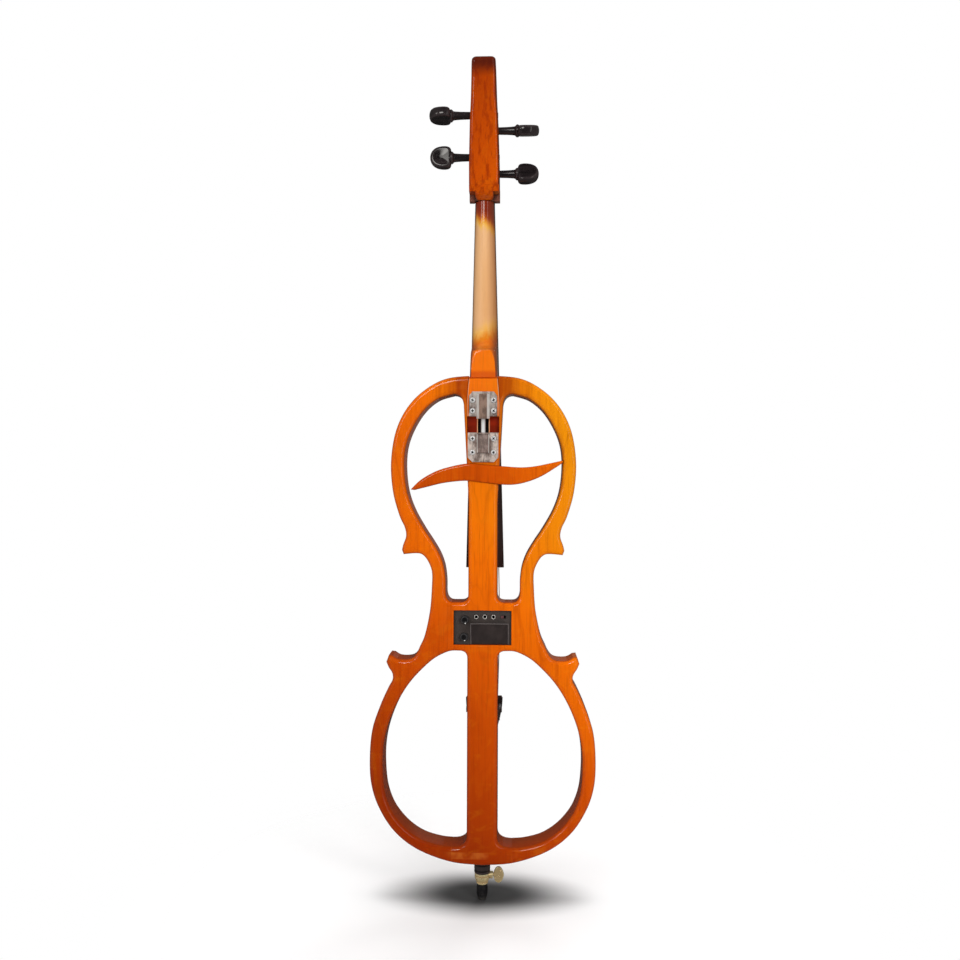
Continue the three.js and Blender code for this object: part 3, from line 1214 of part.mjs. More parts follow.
function addHousing() {
  const [half, halfHeight] = HOUSING_HALF;
  const back = POCKET_DEPTH - FIT_GAP;
  const inner = PANEL_RECESS + HOUSING_FACE;
  let solid = box([-half, half], [PANEL_RECESS, back], [-halfHeight, halfHeight]);
  const seat = [-halfHeight - OVERRUN, DOOR_HIGH + FIT_GAP];
  const doorSeat = box([BARREL_X, DOOR_RIGHT + FIT_GAP], [0, PANEL_RECESS + DOOR_THICKNESS + FIT_GAP], seat);
  const barrelSeat = bar("z", DOOR_BARREL_RADIUS + FIT_GAP, ...seat, SMALL_SIDES).translate([BARREL_X, BARREL_Y, 0]);
  const barrelMouth = box(
    [BARREL_X - DOOR_BARREL_RADIUS - FIT_GAP, BARREL_X + DOOR_BARREL_RADIUS + FIT_GAP],
    [0, BARREL_Y],
    seat,
  );
  const bay = box(
    [BATTERY_LEFT - FIT_GAP, BATTERY_LEFT + BATTERY_LENGTH + FIT_GAP],
    [0, BATTERY_FACE + BATTERY_THICKNESS + FIT_GAP],
    [BATTERY_LOW - FIT_GAP, BATTERY_LOW + BATTERY_WIDTH + FIT_GAP],
  );
  const upperBay = box([-half + HOUSING_WALL, half - HOUSING_WALL], [inner, back + OVERRUN],
    [DOOR_HIGH + HOUSING_WALL, halfHeight - HOUSING_WALL]);
  const sideBay = box([-half + HOUSING_WALL, BARREL_X - HOUSING_WALL], [inner, back + OVERRUN],
    [-halfHeight + HOUSING_WALL, halfHeight - HOUSING_WALL]);
  solid = solid.subtract(doorSeat).subtract(barrelSeat).subtract(barrelMouth).subtract(bay);
  solid = solid.subtract(upperBay).subtract(sideBay);
  for (const [x, z] of KNOB_PLACES) {
    solid = solid.subtract(bar("y", KNOB_SHAFT_RADIUS + FIT_GAP, 0, inner + FIT_GAP, THIN_SIDES).translate([x, 0, z]));
  }
  for (let i = 0; i < JACK_NAMES.length; i += 1) {
    solid = solid.subtract(bar("y", JACK_BARREL_RADIUS + FIT_GAP, 0, inner + FIT_GAP, THIN_SIDES)
      .translate([JACK_ROW_PLACE[0] + i * JACK_SPACING, 0, JACK_ROW_PLACE[1]]));
  }
  const slotHalf = SWITCH_WIDTH / 2 + FIT_GAP;
  const slotHeight = SWITCH_HEIGHT / 2 + FIT_GAP;
  solid = solid.subtract(box(
    [SWITCH_PLACE[0] - slotHalf, SWITCH_PLACE[0] + slotHalf + SWITCH_TRAVEL],
    [0, PANEL_RECESS + SWITCH_DEPTH + FIT_GAP],
    [SWITCH_PLACE[1] - slotHeight, SWITCH_PLACE[1] + slotHeight],
  ));
  add("control_housing", solid, blackPlastic(), panel);
  const boardLow = DOOR_HIGH + HOUSING_WALL + FIT_GAP;
  add("circuit_board", box(
    [-half + HOUSING_WALL + FIT_GAP, half - HOUSING_WALL - FIT_GAP],
    [inner + FIT_GAP, inner + FIT_GAP + CIRCUIT_THICKNESS],
    [boardLow, halfHeight - HOUSING_WALL - FIT_GAP],
  ), finish(0x1f5a34, 0.5), panel);
}

function addBatteryAndDoor() {
  add("battery", box(
    [BATTERY_LEFT, BATTERY_LEFT + BATTERY_LENGTH],
    [BATTERY_FACE, BATTERY_FACE + BATTERY_THICKNESS],
    [BATTERY_LOW, BATTERY_LOW + BATTERY_WIDTH],
  ), finish(0x3a3c40, 0.4, 0.5), panel);
  const width = DOOR_RIGHT - BARREL_X;
  const halfThick = DOOR_THICKNESS / 2;
  const plate = box([0, width], [-halfThick, halfThick], [DOOR_LOW, DOOR_HIGH]);
  const barrel = bar("z", DOOR_BARREL_RADIUS, DOOR_LOW, DOOR_HIGH, THIN_SIDES);
  const topRim = box([0, width], [-halfThick - DOOR_RIM / 2, 0], [DOOR_HIGH - DOOR_RIM, DOOR_HIGH]);
  const sideRim = box([width - DOOR_RIM, width], [-halfThick - DOOR_RIM / 2, 0], [DOOR_LOW, DOOR_HIGH]);
  add("battery_door", plate.add(barrel).add(topRim).add(sideRim), blackPlastic(), panel, spot(BARREL_X, BARREL_Y, 0));
}

function addControls() {
  const knob = turned([
    [0, -KNOB_HEIGHT], [KNOB_RADIUS * KNOB_CROWN_SHARE, -KNOB_HEIGHT],
    [KNOB_RADIUS, -KNOB_HEIGHT * KNOB_CROWN_SHARE], [KNOB_RADIUS, -FIT_GAP],
    [KNOB_SHAFT_RADIUS, -FIT_GAP], [KNOB_SHAFT_RADIUS, HOUSING_FACE], [0, HOUSING_FACE],
  ], "y");
  ["volume_knob", "tone_knob"].forEach((name, i) => {
    add(name, knob, blackPlastic(), panel, spot(KNOB_PLACES[i][0], PANEL_RECESS, KNOB_PLACES[i][1]));
  });
  const jackFloor = JACK_LENGTH - JACK_END_WALL;
  const jack = turned([
    [0, jackFloor], [JACK_BORE_RADIUS, jackFloor], [JACK_BORE_RADIUS, -JACK_STAND], [JACK_RADIUS, -JACK_STAND],
    [JACK_RADIUS, -FIT_GAP], [JACK_BARREL_RADIUS, -FIT_GAP], [JACK_BARREL_RADIUS, JACK_LENGTH], [0, JACK_LENGTH],
  ], "y", SMALL_SIDES);
  JACK_NAMES.forEach((name, i) => {
    add(name, jack, nickel(), panel, spot(JACK_ROW_PLACE[0] + i * JACK_SPACING, PANEL_RECESS, JACK_ROW_PLACE[1]));
  });
  add("power_switch", box(
    [-SWITCH_WIDTH / 2, SWITCH_WIDTH / 2],
    [-SWITCH_STAND, SWITCH_DEPTH],
    [-SWITCH_HEIGHT / 2, SWITCH_HEIGHT / 2],
  ), finish(0x5a1c1c, 0.5), panel, spot(SWITCH_PLACE[0], PANEL_RECESS, SWITCH_PLACE[1]));
}

// Endpin: measured on its axis, below the frame's lower end
const endpin = new THREE.Group();
endpin.position.set(0, BODY_MIDDLE, 0);
cello.add(endpin);

// Half of the thumb screw's wing as shares of its width and of its half-height
const THUMB_WING_SHARES = [[0, 0.2], [0.06, 1.05], [0.8, 1.35], [1, 0]];
// The rubber tip's profile as shares of its radius and of its length
const PIN_TIP_SHARES = [[0, 0], [0.7, 0], [1, 0.4], [1, 0.8], [0.8, 1], [0, 1]];

function thumbWing() {
  const at = (side) => THUMB_WING_SHARES
    .map(([out, up]) => [THUMB_WING_START + out * THUMB_WING_WIDTH, (side * up * THUMB_WING_HEIGHT) / 2]);
  const lower = at(-1);
  const upper = at(1).reverse();
  const wing = new THREE.Shape();
  wing.moveTo(...lower[0]);
  wing.bezierCurveTo(...lower[1], ...lower[2], ...lower[3]);
  wing.bezierCurveTo(...upper[1], ...upper[2], ...upper[3]);
  const half = THUMB_WING_THICKNESS / 2;
  return extrude(wing, "y", -half, half, THUMB_WING_EDGE);
}

function addEndpin() {
  const flangeLow = -PLUG_FLANGE_HEIGHT - FIT_GAP;
  const bore = bar("z", PIN_RADIUS + FIT_GAP, -BODY_THICKNESS, PLUG_SHANK_LENGTH + OVERRUN);
  const plug = turned([
    [0, flangeLow], [PLUG_RADIUS, flangeLow], [PLUG_RADIUS, -FIT_GAP], [PLUG_SHANK_RADIUS, -FIT_GAP],
    [PLUG_SHANK_END_RADIUS, PLUG_SHANK_LENGTH], [0, PLUG_SHANK_LENGTH],
  ], "z", FINE_SIDES);
  add("endpin_plug", plug.subtract(bore), ebony(), endpin);

  const collarTop = flangeLow - FIT_GAP;
  const collarLow = collarTop - COLLAR_HEIGHT;
  const across = (radius, from, to) => bar("x", radius, from, to, THIN_SIDES).translate([0, 0, -THUMB_SCREW_DROP]);
  const collar = turned([
    [0, collarLow], [COLLAR_END_RADIUS, collarLow], [COLLAR_RADIUS, collarTop - COLLAR_HEIGHT * COLLAR_WAIST_SHARE],
    [COLLAR_RADIUS, collarTop], [0, collarTop],
  ], "z", FINE_SIDES)
    .add(across(THUMB_BOSS_RADIUS, PIN_RADIUS, THUMB_BOSS_REACH))
    .subtract(bar("z", PLUG_RADIUS + FIT_GAP, collarTop, 0, FINE_SIDES))
    .subtract(bore)
    .subtract(across(THUMB_SCREW_RADIUS + FIT_GAP, 0, THUMB_BOSS_REACH + OVERRUN));
  add("endpin_collar", collar, brass(), endpin);

  const thumb = bar("x", THUMB_SCREW_RADIUS, PIN_RADIUS + FIT_GAP, THUMB_STEM_END, THIN_SIDES).add(thumbWing());
  add("endpin_thumb_screw", thumb, brass(), endpin, spot(0, 0, -THUMB_SCREW_DROP));

  // Pushed in until the tip nears the collar or the pin's inner end nears the end of its bore
  const stowed = collarLow - PIN_TIP_GAP - PIN_TIP_LENGTH + PIN_TIP_WALL;
  const rodLow = Math.min(stowed, PIN_BORE_LENGTH - PIN_END_ROOM - PIN_LENGTH);
  const tipLow = rodLow - PIN_TIP_WALL;
  add("endpin_rod", bar("z", PIN_RADIUS, rodLow, rodLow + PIN_LENGTH), chrome(), endpin);
  const profile = PIN_TIP_SHARES.map(([out, up]) => [out * PIN_TIP_RADIUS, tipLow + up * PIN_TIP_LENGTH]);
  const socket = bar("z", PIN_RADIUS + FIT_GAP, rodLow - FIT_GAP, rodLow + PIN_TIP_LENGTH);
  add("endpin_tip", turned(profile, "z").subtract(socket), rubber(), endpin);
}

addFrame();
addBar();
addNeck();
addFingerboard();
addPegbox();
addShoulderBlock();
addPegs();
addBridge();
addTailpiece();
addTuners();
addStrings();
addTailCord();
addBracket();
addBracketScrews();
addHousing();
addBatteryAndDoor();
addControls();
addEndpin();

cello.position.copy(HANGER).negate();

export default cello;
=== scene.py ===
# Looks of the electric cello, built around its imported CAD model.
# Forms are drawn in the body's own millimetres: y = 0 is the back of the frame, z = 0 its lower end.

import json
import math

import bmesh
import bpy
import numpy as np
from mathutils import Matrix, Vector
from mathutils.geometry import tessellate_polygon


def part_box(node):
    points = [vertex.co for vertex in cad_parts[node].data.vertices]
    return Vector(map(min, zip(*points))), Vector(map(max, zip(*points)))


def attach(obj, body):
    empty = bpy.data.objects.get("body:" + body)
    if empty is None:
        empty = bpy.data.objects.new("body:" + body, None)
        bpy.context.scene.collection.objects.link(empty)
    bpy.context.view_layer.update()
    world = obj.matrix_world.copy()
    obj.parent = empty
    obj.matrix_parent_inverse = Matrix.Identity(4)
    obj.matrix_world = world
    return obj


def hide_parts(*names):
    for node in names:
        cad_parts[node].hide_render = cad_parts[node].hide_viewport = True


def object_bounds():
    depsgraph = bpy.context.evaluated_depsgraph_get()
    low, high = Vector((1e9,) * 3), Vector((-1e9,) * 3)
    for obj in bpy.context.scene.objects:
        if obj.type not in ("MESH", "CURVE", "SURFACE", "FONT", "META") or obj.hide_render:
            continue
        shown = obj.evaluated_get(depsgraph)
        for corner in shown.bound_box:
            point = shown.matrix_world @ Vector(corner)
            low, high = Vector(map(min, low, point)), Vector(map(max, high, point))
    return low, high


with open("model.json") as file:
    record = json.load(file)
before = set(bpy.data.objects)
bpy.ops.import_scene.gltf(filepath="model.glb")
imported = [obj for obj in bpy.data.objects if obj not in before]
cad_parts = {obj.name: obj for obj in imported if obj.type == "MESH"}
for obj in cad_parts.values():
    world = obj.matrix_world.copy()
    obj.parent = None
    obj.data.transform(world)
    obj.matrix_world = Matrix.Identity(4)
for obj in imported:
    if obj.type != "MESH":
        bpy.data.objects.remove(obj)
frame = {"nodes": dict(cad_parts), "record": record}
cad_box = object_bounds()

MM = 0.001
ORIGIN = Vector((0, 46, 1032))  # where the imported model's origin lies in those millimetres
BODIES = frame["record"]["behaviour"]["bodies"]
BODY_OF = {node: body for body, nodes in BODIES.items() for node in nodes}
JOINT_LINE = 750  # height of the groove between the neck's shaft and its block


# Camera, at the photograph's place
CAMERA_PLACE = (0.054, -1.466, -0.441)
CAMERA_YAW, CAMERA_PITCH, CAMERA_ROLL = math.radians(2.362), math.radians(0.1), 0.0035
CAMERA_LENS, CAMERA_SENSOR = 34.69, 36


def aim_camera():
    yaw, pitch, roll = CAMERA_YAW, CAMERA_PITCH, CAMERA_ROLL
    forward = Vector((-math.sin(yaw) * math.cos(pitch), math.cos(yaw) * math.cos(pitch), math.sin(pitch)))
    level = Vector((math.cos(yaw), math.sin(yaw), 0))
    upward = level.cross(forward)
    across = level * math.cos(roll) + upward * math.sin(roll)
    above = upward * math.cos(roll) - level * math.sin(roll)
    camera = bpy.data.objects.new("camera", bpy.data.cameras.new("camera"))
    bpy.context.scene.collection.objects.link(camera)
    camera.data.sensor_width = CAMERA_SENSOR
    camera.data.lens = CAMERA_LENS
    camera.matrix_world = Matrix((across, above, -forward)).transposed().to_4x4()
    camera.location = CAMERA_PLACE
    bpy.context.scene.camera = camera


aim_camera()


# Forms: points in millimetres and faces
class Form:
    """A shape to be made into a mesh, or to cut one with."""

    def __init__(self, points=(), faces=()):
        self.points = [Vector(point) for point in points]
        self.faces = [tuple(face) for face in faces]

    def add(self, other):
        base = len(self.points)
        self.points += other.points
        self.faces += [tuple(i + base for i in face) for face in other.faces]
        return self

    def moved(self, matrix):
        return Form([matrix @ point for point in self.points], self.faces)

    def at(self, x, y, z):
        return self.moved(Matrix.Translation((x, y, z)))

    def turned(self, degrees, axis):
        return self.moved(Matrix.Rotation(math.radians(degrees), 4, axis))


def block(xs, ys, zs):
    """A box between two places along each axis."""
    points = [(x, y, z) for x in xs for y in ys for z in zs]
    faces = [(0, 1, 3, 2), (4, 6, 7, 5), (0, 4, 5, 1), (2, 3, 7, 6), (0, 2, 6, 4), (1, 5, 7, 3)]
    return Form(points, faces)


def loft(rings, capped=True):
    """A skin over rings of equally many points."""
    count = len(rings[0])
    faces = []
    for ring in range(len(rings) - 1):
        for i in range(count):
            a, b = ring * count + i, ring * count + (i + 1) % count
            faces.append((a, b, b + count, a + count))
    if capped:
        last = (len(rings) - 1) * count
        faces += [tuple(range(count)), tuple(last + i for i in range(count))]
    return Form([point for ring in rings for point in ring], faces)


def lathe(profile, axis="z", sides=64):
    """Turns [radius, place] points about an axis."""
    rings = []
    for radius, place in profile:
        ring = []
        for i in range(sides):
            angle = 2 * math.pi * i / sides
            a, b = radius * math.cos(angle), radius * math.sin(angle)
            ring.append({"z": (a, b, place), "y": (a, place, b), "x": (place, a, b)}[axis])
        rings.append(ring)
    return loft(rings)


def spline(points, steps=8):
    """A smooth curve through points, with steps between each two."""
    result = []
    points = [Vector(point) for point in points]
    for i in range(len(points) - 1):
        before, here = points[max(i - 1, 0)], points[i]
        there, after = points[i + 1], points[min(i + 2, len(points) - 1)]
        leave, arrive = (there - before) / 2, (after - here) / 2
        for step in range(steps):
            t = step / steps
            result.append(here * (2 * t ** 3 - 3 * t ** 2 + 1) + there * (3 * t ** 2 - 2 * t ** 3)
                          + leave * (t ** 3 - 2 * t ** 2 + t) + arrive * (t ** 3 - t ** 2))
    return result + [points[-1]]


def bezier(a, b, c, d, steps=16):
    a, b, c, d = map(Vector, (a, b, c, d))
    curve = []
    for i in range(steps + 1):
        t = i / steps
        curve.append(a * (1 - t) ** 3 + b * 3 * t * (1 - t) ** 2 + c * 3 * t * t * (1 - t) + d * t ** 3)
    return curve


def quadratic(a, b, c, steps=8):
    a, b, c = Vector(a), Vector(b), Vector(c)
    shares = [i / steps for i in range(steps + 1)]
    return [a * (1 - t) ** 2 + b * 2 * t * (1 - t) + c * t * t for t in shares]


def mirrored(points):
    """The other half of a symmetric outline, from its end back to its start."""
    return [Vector((-p[0], p[1])) for p in reversed(points)]


def flipped(points):
    """The lower half of an outline, from its end back to its start."""
    return [Vector((p[0], -p[1])) for p in reversed(points)]


def thinned(points, least=0.4):
    """Leaves out points that lie nearly on the one before."""
    kept = []
    for point in points:
        if not kept or (Vector(point) - kept[-1]).length > least:
            kept.append(Vector(point))
    if (kept[-1] - kept[0]).length < least:
        kept.pop()
    return kept


def tube(points, radius, sides=12):
    """A round rod of one radius along a path."""
    points = [Vector(point) for point in points]
    side = Vector((1, 0.2, 0.1))
    rings = []
    for i, point in enumerate(points):
        before, after = points[max(i - 1, 0)], points[min(i + 1, len(points) - 1)]
        along = ((point - before).normalized() + (after - point).normalized()).normalized()
        side = (side - along * side.dot(along)).normalized()
        other = along.cross(side)
        angles = [2 * math.pi * k / sides for k in range(sides)]
        rings.append([point + (side * math.cos(a) + other * math.sin(a)) * radius for a in angles])
    return loft(rings)


def unit(vectors):
    return vectors / np.maximum(np.linalg.norm(vectors, axis=-1, keepdims=True), 1e-9)


def inset(loop, depth):
    """Moves a closed loop to its left, and draws it together where it would cross itself."""
    if depth <= 0:
        return loop
    before, after = np.roll(loop, 1, axis=0), np.roll(loop, -1, axis=0)
    into, out_of = unit(loop - before), unit(after - loop)
    left_in = np.stack((-into[:, 1], into[:, 0]), 1)
    left_out = np.stack((-out_of[:, 1], out_of[:, 0]), 1)
    normal = unit(left_in + left_out)
    reach = depth / np.clip((normal * left_in).sum(1), 0.4, 1)
    moved = loop + normal * reach[:, None]
    run = after - loop
    apart = moved[:, None, :] - loop[None, :, :]
    share = np.clip((apart * run).sum(-1) / np.maximum((run * run).sum(-1), 1e-9), 0, 1)
    distance = np.linalg.norm(apart - share[..., None] * run, axis=-1).min(1)
    good = np.where(distance > depth * 0.97)[0]
    if len(good) < 3:
        return moved
    places = np.arange(len(loop))
    return np.stack([np.interp(places, good, moved[good, k], period=len(loop)) for k in (0, 1)], 1)


def slab(loops, low, high, rounding=0, steps=5):
    """A board between two depths, cut along closed loops (its outside first), with rounded edges."""
    form = Form()
    edges = [0.5 * math.pi * k / steps for k in range(steps + 1)] if rounding else [0]
    levels = [(rounding * (1 - math.cos(a)), low + rounding * (1 - math.sin(a))) for a in reversed(edges)]
    levels += [(depth, low + high - y) for depth, y in reversed(levels)]
    first, last, base = [], [], []
    for index, loop in enumerate(loops):
        loop = np.array([(p[0], p[1]) for p in loop], float)
        area = (loop[:, 0] * np.roll(loop[:, 1], -1) - np.roll(loop[:, 0], -1) * loop[:, 1]).sum()
        if (area > 0) != (index == 0):
            loop = loop[::-1]
        rings = [[(p[0], y, p[1]) for p in inset(loop, depth)] for depth, y in levels]
        base.append((len(form.points), len(loop)))
        form.add(loft(rings, capped=False))
        first.append([Vector((x, z, 0)) for x, y, z in rings[0]])
        last.append([Vector((x, z, 0)) for x, y, z in rings[-1]])
    for caps, level in ((first, 0), (last, len(levels) - 1)):
        index = [start + level * count + i for start, count in base for i in range(count)]
        form.faces += [tuple(index[i] for i in face) for face in tessellate_polygon(caps)]
    return form


def along_x(form):
    """Turns a slab drawn in (x, z) so that it is drawn in (y, z) and is thick along x."""
    return form.moved(Matrix(((0, 1, 0, 0), (1, 0, 0, 0), (0, 0, 1, 0), (0, 0, 0, 1))))


def along_z(form):
    """Turns a slab drawn in (x, z) so that it is drawn in (x, y) and is thick along z."""
    return form.moved(Matrix(((1, 0, 0, 0), (0, 0, 1, 0), (0, 1, 0, 0), (0, 0, 0, 1))))


def knurl(form, rows, sides, depth, period):
    """Presses grooves into the chosen rows of a form turned about y."""
    for i, point in enumerate(form.points):
        if i // sides in rows and i % period < 2:
            point.x *= 1 - depth
            point.z *= 1 - depth
    return form


def node_form(node):
    """A CAD solid in body millimetres."""
    mesh = frame["nodes"][node].data
    return Form([v.co / MM + ORIGIN for v in mesh.vertices], [tuple(p.vertices) for p in mesh.polygons])


# Objects
FLAT_ANGLE, EDGE_ANGLE = math.radians(1), math.radians(28)


def link_object(name, data):
    piece = bpy.data.objects.new(name, data)
    bpy.context.scene.collection.objects.link(piece)
    return piece


def make_object(name, form, weld=0.01):
    """A mesh object from a form, with points nearer than weld joined."""
    mesh = bpy.data.meshes.new(name)
    mesh.from_pydata([(point - ORIGIN) * MM for point in form.points], [], form.faces)
    work = bmesh.new()
    work.from_mesh(mesh)
    bmesh.ops.remove_doubles(work, verts=work.verts, dist=weld * MM)
    bmesh.ops.dissolve_degenerate(work, edges=work.edges, dist=weld * MM)
    bmesh.ops.recalc_face_normals(work, faces=work.faces)
    work.to_mesh(mesh)
    work.free()
    return link_object(name, mesh)


def settle(piece):
    """Applies a piece's modifiers."""
    mesh = bpy.data.meshes.new_from_object(piece.evaluated_get(bpy.context.evaluated_depsgraph_get()))
    piece.modifiers.clear()
    piece.data = mesh


def carve(piece, *steps):
    """Cuts, joins or keeps what is common with other forms: (operation, form)."""
    for operation, form in steps:
        tool = make_object("tool", form)
        cut = piece.modifiers.new("cut", "BOOLEAN")
        cut.operation, cut.solver, cut.object = operation, "EXACT", tool
        settle(piece)
        bpy.data.objects.remove(tool)
    return piece


def show(piece, finish, *nodes, bevel=0, segments=2, crease=32, flatten=False):
    """Gives a piece its edges, its finish and its body, in place of CAD nodes."""
    if flatten:
        work = bmesh.new()
        work.from_mesh(piece.data)
        bmesh.ops.dissolve_limit(work, angle_limit=FLAT_ANGLE, verts=work.verts, edges=work.edges)
        work.to_mesh(piece.data)
        work.free()
    if bevel:
        edge = piece.modifiers.new("edge", "BEVEL")
        edge.width, edge.segments, edge.limit_method = bevel * MM, segments, "ANGLE"
        edge.angle_limit = EDGE_ANGLE
        settle(piece)
    piece.data.polygons.foreach_set("use_smooth", [True] * len(piece.data.polygons))
    piece.data.set_sharp_from_angle(angle=math.radians(crease))
    weighted = piece.modifiers.new("shade", "WEIGHTED_NORMAL")
    weighted.keep_sharp = True
    piece.data.materials.clear()
    piece.data.materials.append(finish)
    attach(piece, BODY_OF[nodes[0]])
    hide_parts(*nodes)
    return piece


def refined(node, finish, bevel, segments=2):
    """The CAD solid with its edges eased."""
    piece = make_object(node + "_shaped", node_form(node))
    return show(piece, finish, node, bevel=bevel, segments=segments, flatten=True)


def paint_faces(piece, finish, spot, radius, low, high):
    """Gives a second finish to the faces round an axis along y through a spot, between two depths from it."""
    piece.data.materials.append(finish)
    for face in piece.data.polygons:
        off = face.center / MM + ORIGIN - spot
        if math.hypot(off.x, off.z) < radius and low < off.y < high:
            face.material_index = 1


# Shader arithmetic: an expression on values adds its Math nodes
class Value:
    def __init__(self, finish, socket):
        self.finish, self.socket = finish, socket

    def math(self, operation, *values):
        return self.finish.node("Math", {"operation": operation}, dict(enumerate(values)))

    def __add__(self, other):
        return self.math("ADD", self, other)

    def __mul__(self, other):
        return self.math("MULTIPLY", self, other)

    def __sub__(self, other):
        return self.math("SUBTRACT", self, other)

    def __rsub__(self, other):
        return self.math("SUBTRACT", other, self)

    def __truediv__(self, other):
        return self.math("DIVIDE", self, other)

    def __pow__(self, other):
        return self.math("POWER", self, other)

    def __abs__(self):
        return self.math("ABSOLUTE", self)

    __radd__, __rmul__ = __add__, __mul__

    def sine(self):
        return self.math("SINE", self)

    def within(self, low, high):
        """0 below low, 1 above high, and smooth between."""
        settings = {"interpolation_type": "SMOOTHSTEP"}
        return self.finish.node("MapRange", settings, {"Value": self, "From Min": low, "From Max": high})

    def held(self):
        return self.finish.node("Clamp", {}, {"Value": self})


class Finish:
    """One material and the nodes that make it."""

    def __init__(self, name):
        self.material = bpy.data.materials.new(name)
        self.material.use_nodes = True
        self.tree = self.material.node_tree
        self.tree.nodes.clear()
        self.output = self.tree.nodes.new("ShaderNodeOutputMaterial")
        self.coordinates = self.node("TexCoord", {}, {}, "Object")
        self.x, self.y, self.z = (self.node("SeparateXYZ", {}, {0: self.coordinates}, k) for k in range(3))

    def node(self, kind, settings, inputs, output=0):
        """Adds a node: its settings first, then its inputs' values or links."""
        node = self.tree.nodes.new("ShaderNode" + kind)
        for key, value in settings.items():
            if key == "stops":
                set_stops(node.color_ramp, value)
            else:
                setattr(node, key, value)
        for key, value in inputs.items():
            if isinstance(value, Value):
                self.tree.links.new(value.socket, node.inputs[key])
            elif value is not None:
                node.inputs[key].default_value = value
        return Value(self, node.outputs[output])

    def stretched(self, scale_x, scale_y, scale_z):
        """Object coordinates scaled unevenly, in cells per metre."""
        settings = {"operation": "MULTIPLY"}
        return self.node("VectorMath", settings, {0: self.coordinates, 1: (scale_x, scale_y, scale_z)})

    def above(self, low, high):
        """0 under one height of the body and 1 over another, in millimetres."""
        return self.z.within(up(low), up(high))

    def in_front(self, low, high):
        """0 behind one depth of the body and 1 in front of another, in millimetres."""
        return self.y.within((low - ORIGIN.y) * MM, (high - ORIGIN.y) * MM)

    def beside(self, low, high):
        """0 near the middle line and 1 further out, on both sides, in millimetres."""
        return abs(self.x).within(low * MM, high * MM)

    def noise(self, where, scale=1, detail=3, roughness=0.55, distortion=0):
        inputs = {"Vector": where, "Scale": scale, "Detail": detail, "Roughness": roughness,
                  "Distortion": distortion}
        return self.node("TexNoise", {}, inputs)

    def ramp(self, value, *stops):
        """A colour that runs through stops of (place, colour)."""
        return self.node("ValToRGB", {"stops": [(place, color(*rgb)) for place, rgb in stops]}, {0: value})

    def mix(self, factor, a, b):
        """From colour a to colour b."""
        a, b = (color(*side) if isinstance(side, tuple) else side for side in (a, b))
        return self.node("Mix", {"data_type": "RGBA"}, {0: factor, 6: a, 7: b}, 2)

    def relief(self, height, distance, strength):
        """A normal bumped by height, over distance in metres."""
        return self.node("Bump", {}, {"Height": height, "Distance": distance, "Strength": strength})

    def facing(self, axis=1):
        """How squarely the surface faces along an axis, from 0 to 1."""
        normal = self.node("NewGeometry", {}, {}, "Normal")
        return abs(self.node("SeparateXYZ", {}, {0: normal}, axis))

    def turned_to(self, axis):
        """How far the surface is turned to the positive side of an axis, from -1 to 1."""
        normal = self.node("NewGeometry", {}, {}, "Normal")
        return self.node("SeparateXYZ", {}, {0: normal}, axis)

    def edges(self, low=0.5, high=0.56):
        """1 where the surface turns sharply outwards, as on an edge that gets rubbed."""
        return self.node("NewGeometry", {}, {}, "Pointiness").within(low, high)

    def surface(self, base, roughness, metallic=0, coat=0, normal=None, **constants):
        """Ends the material in its shader; constants are sockets with _ for each space."""
        names = {"Base Color": base, "Roughness": roughness, "Metallic": metallic, "Coat Weight": coat,
                 "Normal": normal}
        names.update({key.replace("_", " "): value for key, value in constants.items()})
        shader = self.node("BsdfPrincipled", {}, names)
        self.tree.links.new(shader.socket, self.output.inputs["Surface"])
        return self.material


def set_stops(ramp, stops):
    while len(ramp.elements) < len(stops):
        ramp.elements.new(0.5)
    for element, (place, tint) in zip(ramp.elements, stops):
        element.position, element.color = place, tint


def up(height):
    """A height on the body, as the object coordinate that a finish reads."""
    return (height - ORIGIN.z) * MM


def toned(rgb, share, more=0):
    """A colour made darker or lighter."""
    return tuple(min(255, int(level * share + more)) for level in rgb)


def linear(level):
    level /= 255
    return level / 12.92 if level <= 0.04045 else ((level + 0.055) / 1.055) ** 2.4


def color(red, green, blue):
    """A colour written in display levels from 0 to 255."""
    return (linear(red), linear(green), linear(blue), 1)


# Finishes, with the millimetres between which a colour comes in: up the body, back to front or outwards
NECK_SHADE, SPINE_SHADE, HEAD_SHADE = (702, 732), (582, 622), (1200, 1222)
WALL_RIM = (6, 42)
MAPLE_FOOT, MAPLE_TOP = (796, 856), (976, 1020)
SEAT_TOP, SEAT_SHADE, SEAT_FACE = (690, 692), (675, 681), (4.5, 6.5)
SLOT_EDGE, SLOT_RIM_START, SLOT_RIM_END = (8.1, 8.4), (8.3, 8.6), (9.6, 10)
SILK_FOOT, SILK_TOP = (260, 268), (1036, 1044)
TIP_DUST, BATTERY_BAND = (-60, -52), (22.5, 23.5)


def wood_figure(f, ring_width, tilt, depth):
    """Growth rings of three boards glued side by side, cut lengthwise into arches and streaks."""
    wander = f.noise(f.stretched(14, 14, 3), 1, 3) - 0.5
    ripple = f.noise(f.stretched(70, 70, 12), 1, 2) - 0.5
    across = abs(f.x) - f.beside(47, 47.2) * 0.108 + wander * 0.03 + ripple * 0.004
    inward = f.y + f.z * tilt + wander * 0.06 + depth
    reach = (across * across + inward * inward) ** 0.5
    spread = f.node("CombineXYZ", {}, {0: reach / ring_width, 2: f.z * 2})
    return f.noise(spread, 1, 2, 0.6)


